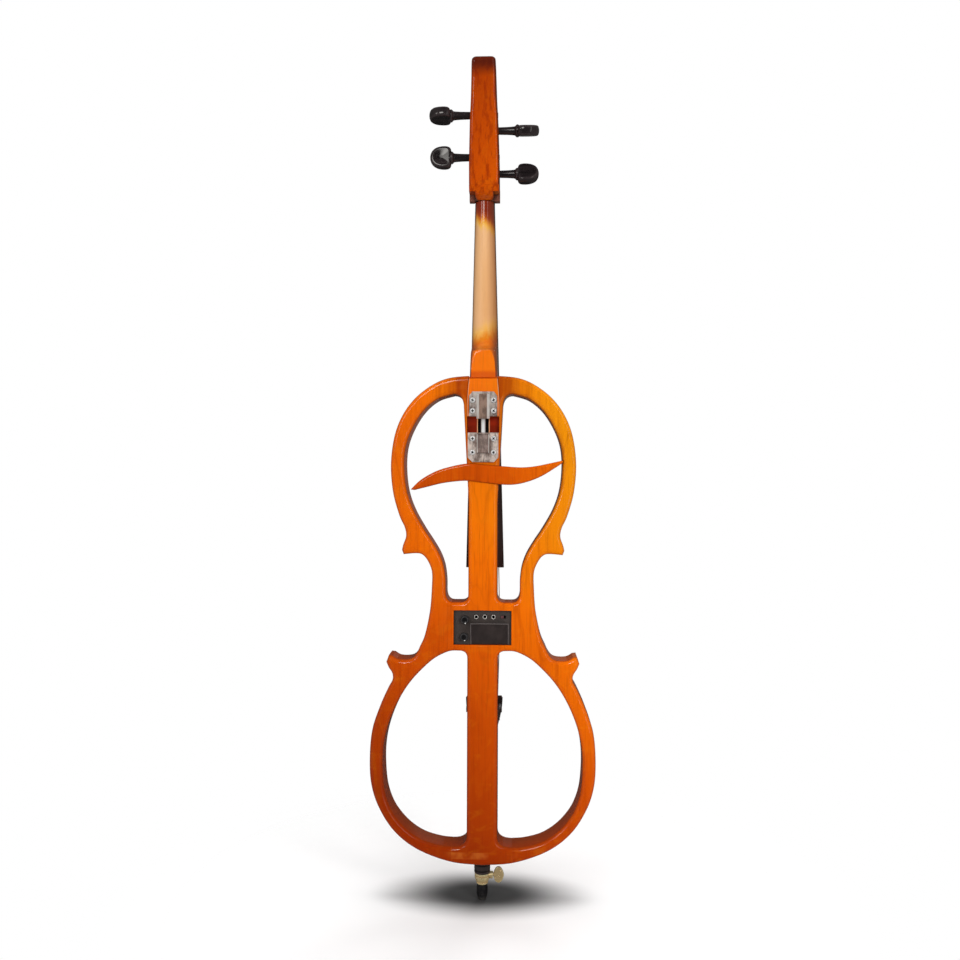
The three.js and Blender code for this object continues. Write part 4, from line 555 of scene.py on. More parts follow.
def lacquer_colors(f, lift=0.0, grain=0.42):
    """A colour running from red-brown at the lower left to amber at the upper right, part stain and part
    painted light from the upper right, over a flamed figure.
    """
    cloud = f.noise(f.stretched(6, 6, 3), 1, 2) - 0.5
    fall = f.z + 0.3
    # Brighter to the right and darker towards the bottom: part stain and part painted light, as if lit from
    # the upper right
    tone = 0.8 + lift + f.x * 1.3 - fall * fall * 1.55 + cloud * 0.3
    burst_and_painted_light = f.ramp(tone.held(), (0.0, (150, 46, 2)), (0.3, (196, 72, 2)), (0.5, (222, 88, 2)),
                   (0.68, (255, 118, 3)), (1.0, (255, 158, 10)))
    streaks = f.noise(f.stretched(170, 170, 7), 1, 3, 0.6)
    fine = f.noise(f.stretched(900, 900, 26), 1, 2, 0.5)
    rings = wood_figure(f, ring_width=0.007, tilt=0.13, depth=0.07)
    darker = f.mix(streaks.within(0.48, 0.72) * grain, burst_and_painted_light, f.mix(0.5, burst_and_painted_light, (150, 38, 2)))
    darker = f.mix(rings.within(0.5, 0.72) * 0.55, darker, f.mix(0.5, darker, (140, 36, 2)))
    darker = f.mix((1 - rings.within(0.3, 0.5)) * 0.16, darker, f.mix(0.35, darker, (255, 160, 20)))
    darker = f.mix(fine.within(0.56, 0.7) * 0.2, darker, (110, 34, 3))
    flames = f.noise(f.stretched(40, 40, 70), 1, 2, 0.5, 0.8)
    figured = f.mix(flames.within(0.52, 0.75) * 0.08, darker, (255, 160, 20))
    return figured, streaks, fine


def make_lacquer(name, lift=0.0, wall=0.62, painted_head_shade=0.0, grain=0.5, joint_shade=0.0):
    """Gloss over figured wood, with painted shade on sides that turn away and lighter edges from wear and a
    painted highlight; as asked, painted shade at the head's top and right side and round the neck's joint.
    """
    f = Finish(name)
    figured, streaks, fine = lacquer_colors(f, lift, grain)
    if joint_shade:
        # Painted shade round the neck's joint: darker on the top band beside the neck and on the spine's
        # upper end
        round_neck = (1 - f.beside(34, 75)) * f.above(*NECK_SHADE) * (0.6 + streaks * 0.6)
        on_spine = (1 - f.beside(25, 32)) * f.above(*SPINE_SHADE) * 0.35
        figured = f.mix((round_neck + on_spine).held() * joint_shade, figured, (158, 44, 4))
    if painted_head_shade:
        figured = f.mix(streaks.within(0.48, 0.62) * 0.4, figured, (150, 40, 4))
        # Painted shade: darker at the head's top and on its right side, where less light falls
        figured = f.mix(f.above(*HEAD_SHADE) * painted_head_shade, figured, (84, 26, 14))
        figured = f.mix(f.turned_to(0).within(0.35, 0.8) * painted_head_shade, figured, (58, 19, 8))
    # Painted shade on surfaces that turn sideways: browner near the back face and greyer towards the front
    # rim
    walls = 1 - f.facing().within(0.1, 0.85)
    near_brown = f.mix(streaks, (110, 38, 6), (160, 62, 10))
    far_brown = f.mix(streaks, (84, 36, 14), (128, 66, 30))
    wall_shaded = f.mix(walls * wall, figured, f.mix(f.in_front(*WALL_RIM), near_brown, far_brown))
    # Lighter rounded edges in patches: part wear and part painted highlight
    rubbed = f.edges(0.53, 0.6) * f.noise(f.coordinates, 24, 3).within(0.5, 0.7)
    worn_and_highlit = f.mix(rubbed * 0.3, wall_shaded, (250, 150, 60))
    dust = f.noise(f.coordinates, 60, 4)
    roughness = 0.3 + streaks * 0.14 + dust * 0.06
    coat = 1 - dust.within(0.66, 0.8) * 0.15
    normal = f.relief(fine * 0.5 + streaks * 0.5, 0.00012, 0.5)
    return f.surface(worn_and_highlit, roughness, 0, coat, normal, Coat_Roughness=0.06, Specular_IOR_Level=0.0)


def make_neck():
    """Bare oiled maple in the middle, lacquered towards the heel and the head with golden drips, with painted
    shade on its right side, its sideways faces, the joint, the seat and the slot, and painted highlights on
    the block's edges and the slot's rims.
    """
    f = Finish("neck_maple")
    figured, fine = lacquer_colors(f, -0.08)[::2]
    grain = f.noise(f.stretched(240, 240, 9), 1, 3, 0.6)
    broad = f.noise(f.stretched(30, 30, 4), 1, 2)
    maple = f.mix(broad.within(0.3, 0.7), (238, 176, 114), (250, 194, 138))
    maple = f.mix(grain.within(0.5, 0.8) * 0.3, maple, (206, 146, 92))
    maple = f.mix(fine.within(0.6, 0.75) * 0.15, maple, (176, 116, 66))

    height = f.z + (f.noise(f.stretched(150, 150, 14), 1, 2) - 0.5) * 0.022
    rise = (height + f.x * 0.5).within(*map(up, MAPLE_TOP))
    # Lacquer comes in towards the head from golden to red-brown; its darkest top, under the pegbox's chin, is
    # partly painted shade
    upper = f.ramp(rise, (0.0, (250, 200, 120)), (0.3, (250, 188, 84)), (0.55, (232, 142, 42)),
                   (0.78, (176, 72, 20)), (1.0, (140, 42, 14)))
    fall = 1 - (height - f.x * 0.4).within(*map(up, MAPLE_FOOT))
    lower = f.ramp(fall, (0.0, (250, 200, 130)), (0.4, (250, 186, 92)), (0.7, (240, 138, 28)),
                   (1.0, (246, 112, 14)))
    base = f.mix(rise.within(0.0, 0.3), maple, upper)
    base = f.mix(fall.within(0.0, 0.3), base, lower)
    base = f.mix(fall.within(0.75, 1.0), base, figured)

    covered = (rise.within(0.2, 0.9) + fall.within(0.2, 0.9)).held()
    shade = f.turned_to(0).within(0.05, 0.85)
    base = f.mix(shade * (1 - covered) * 0.55, base, (164, 90, 40))
    base = f.mix(shade * covered * 0.6, base, (108, 52, 32))
    # Painted shade on the neck's faces that turn sideways
    walls = 1 - f.facing().within(0.2, 0.75)
    base = f.mix(walls * 0.45, base, (116, 60, 34))

    # Painted shade: a darker red band just above the joint line, where the shaft meets the block
    foot = f.above(JOINT_LINE, JOINT_LINE + 0.5) - f.above(JOINT_LINE + 7, JOINT_LINE + 14)
    base = f.mix(foot * 0.6, base, (206, 66, 14))
    # Painted highlight: pale lines along the block's rounded side edges
    block_edge_highlights = abs(f.turned_to(0)).within(0.3, 0.6) * (1 - f.above(JOINT_LINE - 2, JOINT_LINE))
    base = f.mix(block_edge_highlights * (1 - f.in_front(-1, -0.5)) * 0.75, base, (255, 200, 155))

    # Painted shade: the tongue's seat below the heel, deep in its recess, is painted dark red
    seat = (1 - f.above(*SEAT_TOP)) * f.in_front(*SEAT_FACE)
    base = f.mix(seat * 0.95, base, f.mix(f.above(*SEAT_SHADE), (120, 14, 3), (150, 26, 6)))
    # Painted highlight: pale rims along the slot's edges
    slot_rim_highlights = f.beside(*SLOT_RIM_START) - f.beside(*SLOT_RIM_END)
    base = f.mix(seat * slot_rim_highlights, base, (255, 190, 140))
    # Painted shade: the slot's inside is painted nearly black
    base = f.mix(seat * (1 - f.beside(*SLOT_EDGE)), base, (14, 6, 4))

    roughness = 0.42 - covered * 0.12 + grain * 0.08
    normal = f.relief(grain + fine * 0.5, 0.0001, 0.5)
    return f.surface(base, roughness, 0, 0.25 + covered * 0.75, normal,
                     Coat_Roughness=0.08, Specular_IOR_Level=0.05)


def make_bridge_wood():
    """Pale maple with short dark rays."""
    f = Finish("bridge_maple")
    rays = f.noise(f.stretched(90, 700, 700), 1, 3, 0.6)
    grain = f.noise(f.stretched(24, 420, 420), 1, 3)
    base = f.ramp(grain, (0.3, (196, 146, 96)), (0.55, (222, 178, 128)), (0.8, (236, 198, 150)))
    base = f.mix(rays.within(0.55, 0.7) * 0.45, base, (150, 96, 56))
    base = f.mix(f.edges() * 0.4, base, (245, 214, 172))
    return f.surface(base, 0.45 + rays * 0.15, 0, 0, f.relief(rays, 0.0001, 0.6))


def make_dark_wood(name, deep, light, gloss, coat=0.5, along=(260, 260, 12)):
    """Ebony, or wood with a dark stain, with fine pores, polished by the hand."""
    f = Finish(name)
    grain = f.noise(f.stretched(*along), 1, 3, 0.6)
    pores = f.noise(f.stretched(*(3.2 * a for a in along)), 1, 2)
    base = f.mix(grain.within(0.35, 0.75), deep, light)
    base = f.mix(pores.within(0.58, 0.7) * 0.5, base, (8, 7, 7))
    base = f.mix(f.edges() * 0.35, base, toned(light, 1.7, 18))
    smear = f.noise(f.coordinates, 70, 3)
    roughness = gloss + grain * 0.12 + smear * 0.1
    return f.surface(base, roughness, 0, coat, f.relief(grain + pores, 0.00004, 0.5),
                     Coat_Roughness=0.06, Specular_IOR_Level=0.05)


def make_plastic(name, base, light, rough=0.42, worn_and_highlit=0.4):
    """Moulded plastic with a fine grit, lighter at its edges from wear and a painted highlight."""
    f = Finish(name)
    grit = f.noise(f.coordinates, 1500, 2)
    rubbed = f.noise(f.coordinates, 45, 4, 0.6)
    shade = f.mix(rubbed.within(0.35, 0.75), base, light)
    # Lighter edges: part wear and part painted highlight, most on the battery door
    shade = f.mix(f.edges() * worn_and_highlit, shade, toned(light, 1, 70))
    return f.surface(shade, rough + rubbed * 0.14, 0, 0, f.relief(grit, 0.00006, 0.7),
                     Specular_IOR_Level=0.15)


def make_brushed(name, dark, light, rough, along=(60, 60, 2200), metal=1.0, flank_shade=0.0, stains=0.35):
    """Brushed or plated metal with faint stains, and painted shade where it turns sideways."""
    f = Finish(name)
    brushed = f.noise(f.stretched(*along), 1, 2, 0.7)
    spots = f.noise(f.coordinates, 120, 4, 0.6)
    base = f.mix(brushed, dark, light)
    base = f.mix(spots.within(0.58, 0.78) * stains, base, toned(dark, 0.55))
    base = f.mix(f.edges() * 0.5, base, toned(light, 1, 30))
    # Painted shade on the flanks that turn sideways
    if flank_shade:
        base = f.mix((1 - f.facing().within(0.35, 0.9)) * flank_shade, base, (52, 46, 42))
    roughness = rough + brushed * 0.12 + spots.within(0.4, 0.8) * 0.12
    return f.surface(base, roughness, metal, 0, f.relief(brushed, 0.00004, 0.4))


def make_bracket_metal(name, dark, light, raised_shade, rise):
    """Nickel with smudges, with a painted highlight where it slopes sideways and painted shade on what stands
    above rise and on faces that turn up or down.
    """
    f = Finish(name)
    brushed = f.noise(f.stretched(700, 60, 90), 1, 2, 0.7)
    smudges = f.noise(f.stretched(110, 110, 70), 1, 4, 0.65)
    base = f.mix((smudges * 0.7 + brushed * 0.3).within(0.38, 0.62), dark, light)
    # Painted shade: darker on what stands above rise
    top = 1 - f.in_front(rise - 0.6, rise + 0.2)
    base = f.mix(top * 0.85, base, f.mix(smudges.within(0.4, 0.6), raised_shade, toned(raised_shade, 1.35)))
    # Painted highlight on the slopes that turn sideways
    sides = abs(f.turned_to(0)).within(0.35, 0.6)
    base = f.mix(sides * 0.95, base, (255, 252, 246))
    # Painted shade on the faces that turn up or down
    ledge_shade = abs(f.turned_to(2)).within(0.35, 0.7)
    base = f.mix(ledge_shade * 0.6, base, (92, 74, 64))
    roughness = 0.26 + brushed * 0.12 + smudges * 0.12
    return f.surface(base, roughness, 0.5, 0, f.relief(brushed + smudges, 0.00006, 0.5))


def make_rubber():
    """Black rubber, dusty where it meets the floor."""
    f = Finish("tip_rubber")
    grit = f.noise(f.coordinates, 900, 3)
    dust = f.noise(f.coordinates, 90, 4, 0.65)
    low = 1 - f.above(*TIP_DUST)
    base = f.mix(dust.within(0.4, 0.8), (18, 17, 19), (38, 36, 36))
    base = f.mix(low * dust.within(0.3, 0.6) * 0.5, base, (82, 78, 72))
    return f.surface(base, 0.7 + grit * 0.2, 0, 0, f.relief(grit, 0.0001, 0.7), Specular_IOR_Level=0.3)


def make_string():
    """Flat-wound steel, wrapped with thread where it lies on the peg and at its lower end."""
    silk = (92, 20, 60)
    f = Finish("string_steel")
    turns = (f.z * 9000 + f.x * 900).sine()
    thread = (f.z * 5200 + f.y * 900).sine() * 0.5 + 0.5
    wrapped = (f.above(*SILK_TOP) + (1 - f.above(*SILK_FOOT))).held()
    steel = f.mix(turns * 0.5 + 0.5, (150, 150, 154), (206, 206, 210))
    base = f.mix(wrapped, steel, f.mix(thread, silk, toned(silk, 0.6)))
    return f.surface(base, 0.3 + wrapped * 0.4, 1 - wrapped, 0, f.relief(turns, 0.00003, 0.5))


def make_cord():
    """Twisted black nylon."""
    f = Finish("cord_nylon")
    twist = (f.x * 2600 + f.z * 2600 + f.y * 1300).sine() * 0.5 + 0.5
    fuzz = f.noise(f.coordinates, 1400, 2)
    base = f.mix(twist, (16, 16, 17), (44, 42, 42))
    return f.surface(base, 0.45 + fuzz * 0.2, 0, 0, f.relief(twist, 0.00012, 0.6))


def make_circuit():
    """Green board with pale lines between its fields."""
    f = Finish("circuit_board")
    fields = {"Vector": f.coordinates, "Scale": 320, "Color1": color(24, 82, 48), "Color2": color(20, 70, 40),
              "Mortar": color(58, 128, 80), "Mortar Size": 0.03}
    cloud = f.noise(f.coordinates, 200, 2)
    board = f.mix(cloud * 0.3, f.node("TexBrick", {}, fields), (12, 50, 28))
    return f.surface(board, 0.4 + cloud * 0.2, 0, 0.3)


def make_battery():
    """A dark wrap with a copper-coloured band at its right end."""
    f = Finish("battery_wrap")
    scuff = f.noise(f.coordinates, 160, 4, 0.6)
    band = f.x.within(*(place * MM for place in BATTERY_BAND))
    base = f.mix(band, (44, 46, 50), (176, 120, 58))
    base = f.mix(scuff.within(0.55, 0.75) * 0.4, base, (92, 92, 94))
    return f.surface(base, 0.32 + scuff * 0.2, 0.5, 0.2, f.relief(scuff, 0.00004, 0.4))


lacquer = make_lacquer("lacquered_wood", joint_shade=0.75)
bar_lacquer = make_lacquer("bar_lacquer", lift=-0.28)
head_lacquer = make_lacquer("head_lacquer", lift=-0.22, wall=0.7, painted_head_shade=0.9, grain=0.75)
neck_wood = make_neck()
bridge_wood = make_bridge_wood()
ebony = make_dark_wood("ebony", (24, 21, 21), (40, 34, 33), 0.3)
peg_ebony = make_dark_wood("peg_ebony", (24, 20, 21), (48, 40, 41), 0.26, coat=1.0, along=(20, 200, 200))
shoulder_stain = make_dark_wood("shoulder_stain", (66, 36, 30), (96, 56, 44), 0.4, coat=0.25)
housing_plastic = make_plastic("housing_plastic", (28, 22, 20), (42, 33, 29), worn_and_highlit=0.3)
door_plastic = make_plastic("door_plastic", (45, 38, 37), (60, 51, 49), 0.38, worn_and_highlit=0.55)
knob_plastic = make_plastic("knob_plastic", (16, 15, 16), (28, 26, 27), 0.24)
switch_plastic = make_plastic("switch_red", (44, 15, 18), (66, 24, 27), 0.35)
glint_dot_paint = make_plastic("indicator_glint_paint", (236, 232, 226), (250, 248, 244), 0.3)
pickup_plastic = make_plastic("pickup_plastic", (24, 23, 24), (38, 36, 37), 0.5)
bore_shade_black = make_plastic("bore_shade_black", (7, 6, 6), (14, 12, 12), 0.6)
nickel = make_brushed("nickel_brushed", (176, 154, 146), (214, 196, 188), 0.3, metal=0.6)
upper_nickel = make_bracket_metal(
    "nickel_upper_plate", (112, 96, 90), (206, 194, 186), raised_shade=(112, 88, 74), rise=-8.5)
lower_nickel = make_bracket_metal(
    "nickel_lower_plate", (128, 108, 100), (232, 216, 206), raised_shade=(122, 104, 98), rise=-4.8)
jack_nickel = make_brushed(
    "jack_nickel", (200, 192, 184), (236, 230, 222), 0.2, along=(700, 700, 700), metal=0.4)
screw_steel = make_brushed(
    "screw_steel", (236, 233, 230), (252, 251, 249), 0.2, along=(500, 500, 500), metal=0.25, flank_shade=0.7)
chrome = make_brushed("chrome", (198, 196, 196), (232, 231, 230), 0.06, along=(400, 400, 400))
rod_chrome = make_brushed(
    "rod_chrome", (236, 234, 232), (250, 249, 248), 0.12, along=(90, 90, 700), metal=0.2, flank_shade=0.8)
black_steel = make_brushed("black_steel", (30, 28, 28), (48, 45, 44), 0.4, along=(500, 500, 500), metal=0.3)
brass = make_brushed(
    "gold_plate", (214, 176, 114), (246, 220, 170), 0.16, along=(90, 90, 1600), metal=0.6, stains=0.12)
rubber = make_rubber()
string_steel = make_string()
cord_nylon = make_cord()
circuit_green = make_circuit()
battery_wrap = make_battery()

# Frame: outlines as shares across the guide half-width and up the body
BODY_LENGTH, BODY_THICKNESS = 755, 50
GUIDE = [(0.238 * BODY_LENGTH, 174.2), (0.57 * BODY_LENGTH, 79), (0.834 * BODY_LENGTH, 142.8)]
BAND_WIDTH, TOP_BAND, BOTTOM_BAND = 21, 29, 28
WAIST_HEIGHT = 75
WAIST_TOP = BODY_LENGTH * 0.4868 + WAIST_HEIGHT / 2
WAIST_BOTTOM = WAIST_TOP - WAIST_HEIGHT
WING_JOINT = 47  # where the wings are glued on, from the middle
EDGE_ROUNDING = 6.5
EASED_EDGE = 1.6  # the rounding of the heel block, the tailpiece and the thumb screw
FIT_GAP = 0.3
OVERRUN = 5  # how far a cutting form reaches past a surface
THROUGH = (-20, 60)  # depths well past both faces of the frame
UPPER_OUTLINE = [
    (0, 1), (0.382, 0.9942), (0.639, 0.9698), (0.828, 0.9332), (0.951, 0.8844), (1.0205, 0.8225),
    (1.1136, 0.7624), (1.1407, 0.7136), (1.125, 0.6893), (1.151, 0.6709), (1.2485, 0.6526), (1.298, 0.6424)]
WAIST_OUTLINE = [
    (1.3, 0.6335), (1.0937, 0.6356), (0.9946, 0.6331), (0.9356, 0.6209), (0.9173, 0.5987), (0.9855, 0.5669),
    (0.8687, 0.5184), (0.8263, 0.4697), (0.8429, 0.4453), (0.8547, 0.4326), (0.889, 0.422), (0.965, 0.4183),
    (1.07, 0.4193), (1.158, 0.4258)]
LOWER_OUTLINE = [
    (1.2, 0.4127), (1.1412, 0.4017), (1.0673, 0.3894), (1.035, 0.3762), (1.0467, 0.3599), (1.0555, 0.3233),
    (1.04, 0.2744), (1, 0.2185), (0.9874, 0.1642), (0.9208, 0.1159), (0.7842, 0.0672), (0.5769, 0.0305),
    (0.2819, 0.0061), (0, 0)]
LOWER_CORNER = (1.208, 0.4268)
UPPER_OPENING = [
    (0.378, 1), (0.584, 0.975), (0.766, 0.916), (0.91, 0.827), (0.987, 0.738), (1.058, 0.6355),
    (1.1275, 0.5296), (1.129, 0.4408), (1.0616, 0.352), (0.985, 0.2928), (0.9134, 0.2327), (0.892, 0.1735),
    (0.9395, 0.109), (0.9375, 0.0548)]
LOWER_OPENING = [
    (0.372, 1), (0.54, 0.996), (0.74, 0.959), (0.882, 0.899), (0.972, 0.838), (1.0228, 0.768),
    (1.043, 0.6854), (1.035, 0.596), (0.9987, 0.5033), (1.005, 0.404), (0.9856, 0.288), (0.9334, 0.2017),
    (0.858, 0.1384), (0.744, 0.0778), (0.6005, 0.0315), (0.431, 0.0066), (0.3, 0)]
BAR_REACH, BAR_RISE, BAR_DEPTH, BAR_PROUD, BAR_ROUNDING = 123.1, 46.3, 14, 4, 3.5
BAR_CREST, BAR_CLEARANCE = 0.851, 3.8  # the bar's height at the spine, and its gap to the bracket
BAR_UPPER = [
    (-0.905, 0.019), (-0.781, 0.335), (-0.611, 0.6), (-0.444, 0.756), (-0.194, 0.888), (0.03, 0.847),
    (0.254, 0.8), (0.474, 0.765), (0.641, 0.8), (0.808, 0.888), (1, 1)]
BAR_LOWER = [
    (1, 0.93), (0.89, 0.732), (0.725, 0.4665), (0.557, 0.287), (0.3916, 0.192), (0.223, 0.192),
    (0.017, 0.25), (-0.194, 0.311), (-0.361, 0.287), (-0.527, 0.2225), (-0.6946, 0.112), (-0.862, 0)]
HEEL_HALF, HEEL_END, HEEL_SEAT_DEPTH = 24.6, BODY_LENGTH - 64, 35
HEEL_BLOCK = [(-21.7, 752), (-23.4, 735), (-HEEL_HALF, 716), (-HEEL_HALF, HEEL_END)]
TONGUE_END = BODY_LENGTH - 88.5
MORTISE_END = TONGUE_END - FIT_GAP
UPPER_PLATE_LENGTH, LOWER_PLATE_LENGTH = 38, 45.3
GROOVE_HALF, GROOVE_DEPTH, GROOVE_REACH = 4, 8.2, 21.3  # for the bracket's rod
PANEL_HALF, PANEL_RISE, PANEL_DEPTH = 44.5, 26.5, 30
PANEL_CENTRE = WAIST_TOP - WAIST_HEIGHT / 2 - 1
PIN_AXIS = BODY_THICKNESS / 2
PLUG_SEAT = [(11.6, -OVERRUN), (11.6, 0), (9.8, 35.3)]


def on_pin(form, height=0):
    """A form drawn about an axis, put on the endpin's."""
    return form.at(0, PIN_AXIS, height)


def guide_half(z):
    """Half the width of the guide lines that the outlines are shares of."""
    (z0, w0), (z1, w1), (z2, w2) = GUIDE
    if z < z1:
        return w0 + (w1 - w0) * min(max((z - z0) / (z1 - z0), 0), 1)
    return w1 + (w2 - w1) * min(max((z - z1) / (z2 - z1), 0), 1)


def outline_point(share):
    """A point of the left outline."""
    z = share[1] * BODY_LENGTH
    return Vector((-share[0] * guide_half(z), z))


def body_loop():
    upper = spline([outline_point(p) for p in UPPER_OUTLINE])
    waist = spline([outline_point(p) for p in WAIST_OUTLINE])
    lower = spline([outline_point(p) for p in LOWER_OUTLINE])
    left = upper + waist + [outline_point(LOWER_CORNER)] + lower
    return thinned(left + mirrored(left))


def opening_points(shares, low, high, inward=0):
    """A right opening's outer side, between two heights."""
    points = []
    for x_share, z_share in shares:
        z = low + (high - low) * z_share
        points.append(Vector((x_share * (guide_half(z) - BAND_WIDTH) - inward, z)))
    return points


def upper_opening():
    low, high, corner, spine, head = WAIST_TOP, BODY_LENGTH - TOP_BAND, 12, 22.3, 30
    taper_low, taper_high = 0.7417 * BODY_LENGTH, 0.9325 * BODY_LENGTH
    outer = opening_points(UPPER_OPENING, low, high)
    last = outer[-1]
    straight = [(spine, low + corner), (spine, taper_low), (head, taper_high)]
    loop = [Vector(p) for p in straight] + quadratic((head, taper_high), (head, high), outer[0])
    loop += spline(outer) + quadratic(last, (last.x, low), (last.x - corner, low))
    return thinned(loop + quadratic((spine + corner, low), (spine, low), (spine, low + corner)))


def lower_opening():
    spine, flare, corner = 23.5, 16, 12
    outer = opening_points(LOWER_OPENING, BOTTOM_BAND, WAIST_BOTTOM)
    loop = [Vector((spine, BOTTOM_BAND + flare))]
    loop += quadratic((spine, WAIST_BOTTOM - corner), (spine, WAIST_BOTTOM), outer[0]) + spline(outer)
    return thinned(loop + quadratic(outer[-1], (spine, BOTTOM_BAND), (spine, BOTTOM_BAND + flare)))


def bar_loop(extra):
    """The bar's outline, wider by extra at both edges."""
    foot = MORTISE_END - LOWER_PLATE_LENGTH - BAR_CLEARANCE - BAR_CREST * BAR_RISE
    upper = [Vector((x * BAR_REACH, foot + z * BAR_RISE + extra)) for x, z in BAR_UPPER]
    lower = [Vector((x * BAR_REACH, foot + z * BAR_RISE - extra)) for x, z in BAR_LOWER]
    return thinned(spline(upper) + spline(lower))


def cut_board(whole, node, cuts):
    """One board of the whole frame, kept on one side of each cut: (place, side)."""
    work = bmesh.new()
    work.from_mesh(whole.data)
    for x, keep in cuts:
        geometry = list(work.verts) + list(work.edges) + list(work.faces)
        bmesh.ops.bisect_plane(work, geom=geometry, plane_co=(x * MM, 0, 0), plane_no=(-keep, 0, 0),
                               clear_outer=True)
        bmesh.ops.holes_fill(work, edges=[e for e in work.edges if e.is_boundary], sides=0)
    bmesh.ops.recalc_face_normals(work, faces=work.faces)
    mesh = bpy.data.meshes.new(node)
    work.to_mesh(mesh)
    work.free()
    return link_object("frame_" + node, mesh)


def build_frame():
    openings = [upper_opening(), lower_opening()]
    openings += [mirrored(loop) for loop in openings]
    form = slab([body_loop()] + openings, 0, BODY_THICKNESS, EDGE_ROUNDING, 7)
    whole = make_object("whole_frame", form)
    mortise = [Vector((x - FIT_GAP, z)) for x, z in HEEL_BLOCK[:3]]
    mortise.append(Vector((-HEEL_HALF - FIT_GAP, MORTISE_END)))
    mortise[0].y = BODY_LENGTH + OVERRUN
    panel_seat = block((-PANEL_HALF, PANEL_HALF), (-OVERRUN, PANEL_DEPTH),
                       (PANEL_CENTRE - PANEL_RISE, PANEL_CENTRE + PANEL_RISE))
    rod_groove = block((-GROOVE_HALF, GROOVE_HALF), (-OVERRUN, GROOVE_DEPTH),
                       (MORTISE_END - GROOVE_REACH, MORTISE_END + FIT_GAP))
    carve(
        whole,
        ("DIFFERENCE", slab([mortise + mirrored(mortise)], -OVERRUN, HEEL_SEAT_DEPTH + FIT_GAP)),
        ("DIFFERENCE", slab([bar_loop(FIT_GAP)], -OVERRUN, BAR_DEPTH + FIT_GAP)),
        ("DIFFERENCE", panel_seat),
        ("DIFFERENCE", on_pin(lathe(PLUG_SEAT))),
        ("DIFFERENCE", rod_groove),
    )
    boards = {"left_wing": [(-WING_JOINT, -1)], "right_wing": [(WING_JOINT, 1)],
              "spine_board": [(-WING_JOINT, 1), (WING_JOINT, -1)]}
    for node, cuts in boards.items():
        show(cut_board(whole, node, cuts), lacquer, node)
    bpy.data.objects.remove(whole)


def build_bar():
    bar = make_object("s_bar_carved", slab([bar_loop(0)], -BAR_PROUD, BAR_DEPTH, BAR_ROUNDING, 6))
    outer = spline(opening_points(UPPER_OPENING, WAIST_TOP, BODY_LENGTH - TOP_BAND, FIT_GAP))
    carve(bar, ("INTERSECT", slab([thinned(outer + mirrored(outer))], *THROUGH)))
    show(bar, bar_lacquer, "s_bar")


# Neck: its front face follows the fingerboard's slope
NECK_FACE, NECK_TOP, NECK_INSET, HEEL_PROUD = 47, 1032, 1, 3
NECK_ROOT = BODY_LENGTH + FIT_GAP
NECK_AT_NUT, NECK_AT_HEEL = 17.5, 22  # the neck's thickness under the board
BOARD_LENGTH, BOARD_SLOPE, BOARD_RADIUS = 582, 0.09, 65
NUT_WIDTH, BOARD_WIDENING = 31, 31
BOARD_EDGE, NUT_EDGE, NUT_LENGTH = 9, 11.2, 6
TONGUE_SLOT_HALF, TONGUE_SLOT_DEPTH, TONGUE_DEPTHS = 8.4, 14, (8, 34.8)
SHAFT_RINGS, SHAFT_SHAPE = 20, (1, 0.15)  # its shape is how round and how straight-sided it is
JOINT_GROOVE = [(-4, -3), (2.2, 0), (-4, 3)]  # depths from the block's back and heights from the joint line
# How far down, how far back, how round and how straight-sided the heel is at each place
HEEL_SWEEP_HEIGHT = 75
HEEL_SWEEP = [
    (0, 0, 1, 0.15), (0.2, 0.13, 0.9, 0.18), (0.335, 0.37, 0.75, 0.22), (0.43, 0.67, 0.62, 0.26),
    (0.51, 1, 0.55, 0.3), (0.67, 1.13, 0.5, 0.3), (0.87, 1.2, 0.5, 0.3), (1.06, 1.22, 0.5, 0.3)]


def board_face(z):
    return NECK_FACE + (NECK_TOP - z) * BOARD_SLOPE


def board_half(z):
    return (NUT_WIDTH + (NECK_TOP - z) / BOARD_LENGTH * BOARD_WIDENING) / 2


def neck_section(z, back, roundness, straight, steps=48):
    """A flat face under the board, then straight sides, then a back from round (1) to square (0)."""
    face, half = board_face(z) - FIT_GAP, board_half(z) - NECK_INSET
    middle = face - (face - back) * straight
    ring = [(half, face, z)]
    for i in range(steps + 1):
        angle = math.pi * i / steps
        cosine = math.cos(angle)
        across = math.copysign(abs(cosine) ** roundness, cosine)
        out = max(math.sin(angle), 0) ** roundness
        ring.append((half * across, max(middle - (middle - back) * out, -HEEL_PROUD), z))
    return ring + [(-half, face, z)]


